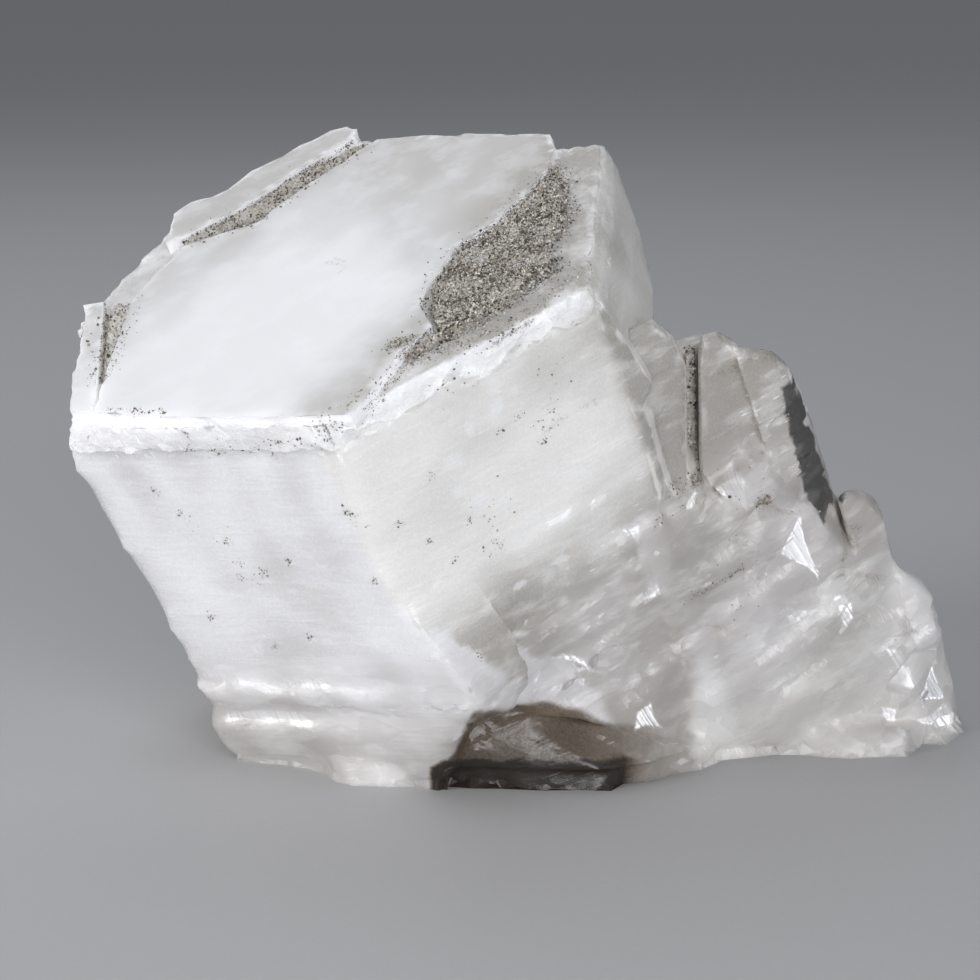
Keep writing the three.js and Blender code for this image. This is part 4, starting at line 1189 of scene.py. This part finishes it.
class STAGE_OT_studio(bpy.types.Operator):
    """Set up the floor, the soft lights, the world and the camera"""

    bl_idname = "stage.studio"
    bl_label = "Studio"

    def execute(self, context):
        settings = context.scene.stage_settings
        bpy.ops.object.select_all(action="DESELECT")
        bpy.ops.mesh.primitive_plane_add(size=8, location=(0, 0, 0))
        floor = context.object
        floor.name = "floor"
        nodes = Nodes("floor")
        place = nodes.add("ShaderNodeTexCoord", output="Object")
        paper = nodes.noise(place, 900.0, 2.0, 0.5)
        body = nodes.mix(colour(settings.floor), colour([0.94 * c for c in settings.floor]), paper)
        floor.data.materials.append(nodes.finish({}, Base_Color=body, Roughness=0.6))
        soft_light("key", (-0.66, -0.34, 0.36), 0.34, settings.key_power, (1.0, 0.985, 0.96))
        soft_light("fill", (0.20, -0.78, 0.22), 0.45, settings.fill_power, (0.97, 0.98, 1.0))
        soft_light("top", (-0.14, 0.42, 0.60), 0.60, settings.top_power, (0.93, 0.96, 1.0))
        world = bpy.data.worlds.new("studio")
        world.use_nodes = True
        sky = world.node_tree.nodes["Background"].inputs
        sky["Color"].default_value = colour((0.62, 0.64, 0.67))
        sky["Strength"].default_value = 0.35
        context.scene.world = world
        lens = bpy.data.cameras.new("camera")
        lens.lens = settings.lens
        camera = bpy.data.objects.new("camera", lens)
        context.scene.collection.objects.link(camera)
        camera.location = CAMERA_PLACE
        camera.rotation_euler = (CAMERA_TARGET - CAMERA_PLACE).to_track_quat("-Z", "Y").to_euler()
        context.scene.camera = camera
        context.scene.view_settings.view_transform = "Standard"
        return {"FINISHED"}


def soft_light(name, place, size, power, tint):
    """A square softbox that looks at the middle of the specimen."""
    light = bpy.data.lights.new(name, "AREA")
    light.size = size
    light.energy = power
    light.color = tint
    holder = bpy.data.objects.new(name, light)
    bpy.context.scene.collection.objects.link(holder)
    holder.location = place
    holder.rotation_euler = (LIGHT_TARGET - Vector(place)).to_track_quat("-Z", "Y").to_euler()


# ------------------------------------------------------------------ add-on


class CALCITE_PT_panel(bpy.types.Panel):
    """Builds the specimen from the sidebar"""

    bl_label = "Calcite specimen"
    bl_idname = "CALCITE_PT_panel"
    bl_space_type = "VIEW_3D"
    bl_region_type = "UI"
    bl_category = "Calcite"

    def draw(self, context):
        for key, group, names in GROUPS:
            box = self.layout.box()
            for setting in group.__annotations__:
                box.prop(getattr(context.scene, key), setting)
            for name in names:
                box.operator(name)


# The scene's settings, their groups and the operators that use them, in the order they run.
GROUPS = [
    ("calcite_settings", CalciteSettings, ["calcite.crystals"]),
    ("druse_settings", DruseSettings, ["druse.crusts", "druse.loose_grains"]),
    ("stage_settings", StageSettings, ["stage.studio"]),
]
CLASSES = [
    CalciteSettings, DruseSettings, StageSettings,
    CALCITE_OT_crystals, DRUSE_OT_crusts, DRUSE_OT_loose_grains, STAGE_OT_studio, CALCITE_PT_panel,
]


def register():
    for item in CLASSES:
        bpy.utils.register_class(item)
    for key, group, _ in GROUPS:
        setattr(bpy.types.Scene, key, PointerProperty(type=group))


def unregister():
    for key, _, _ in GROUPS:
        delattr(bpy.types.Scene, key)
    for item in reversed(CLASSES):
        bpy.utils.unregister_class(item)


def main():
    register()
    for _, _, names in GROUPS:
        for name in names:
            section, operator = name.split(".")
            getattr(getattr(bpy.ops, section), operator)()


if __name__ == "__main__":
    main()
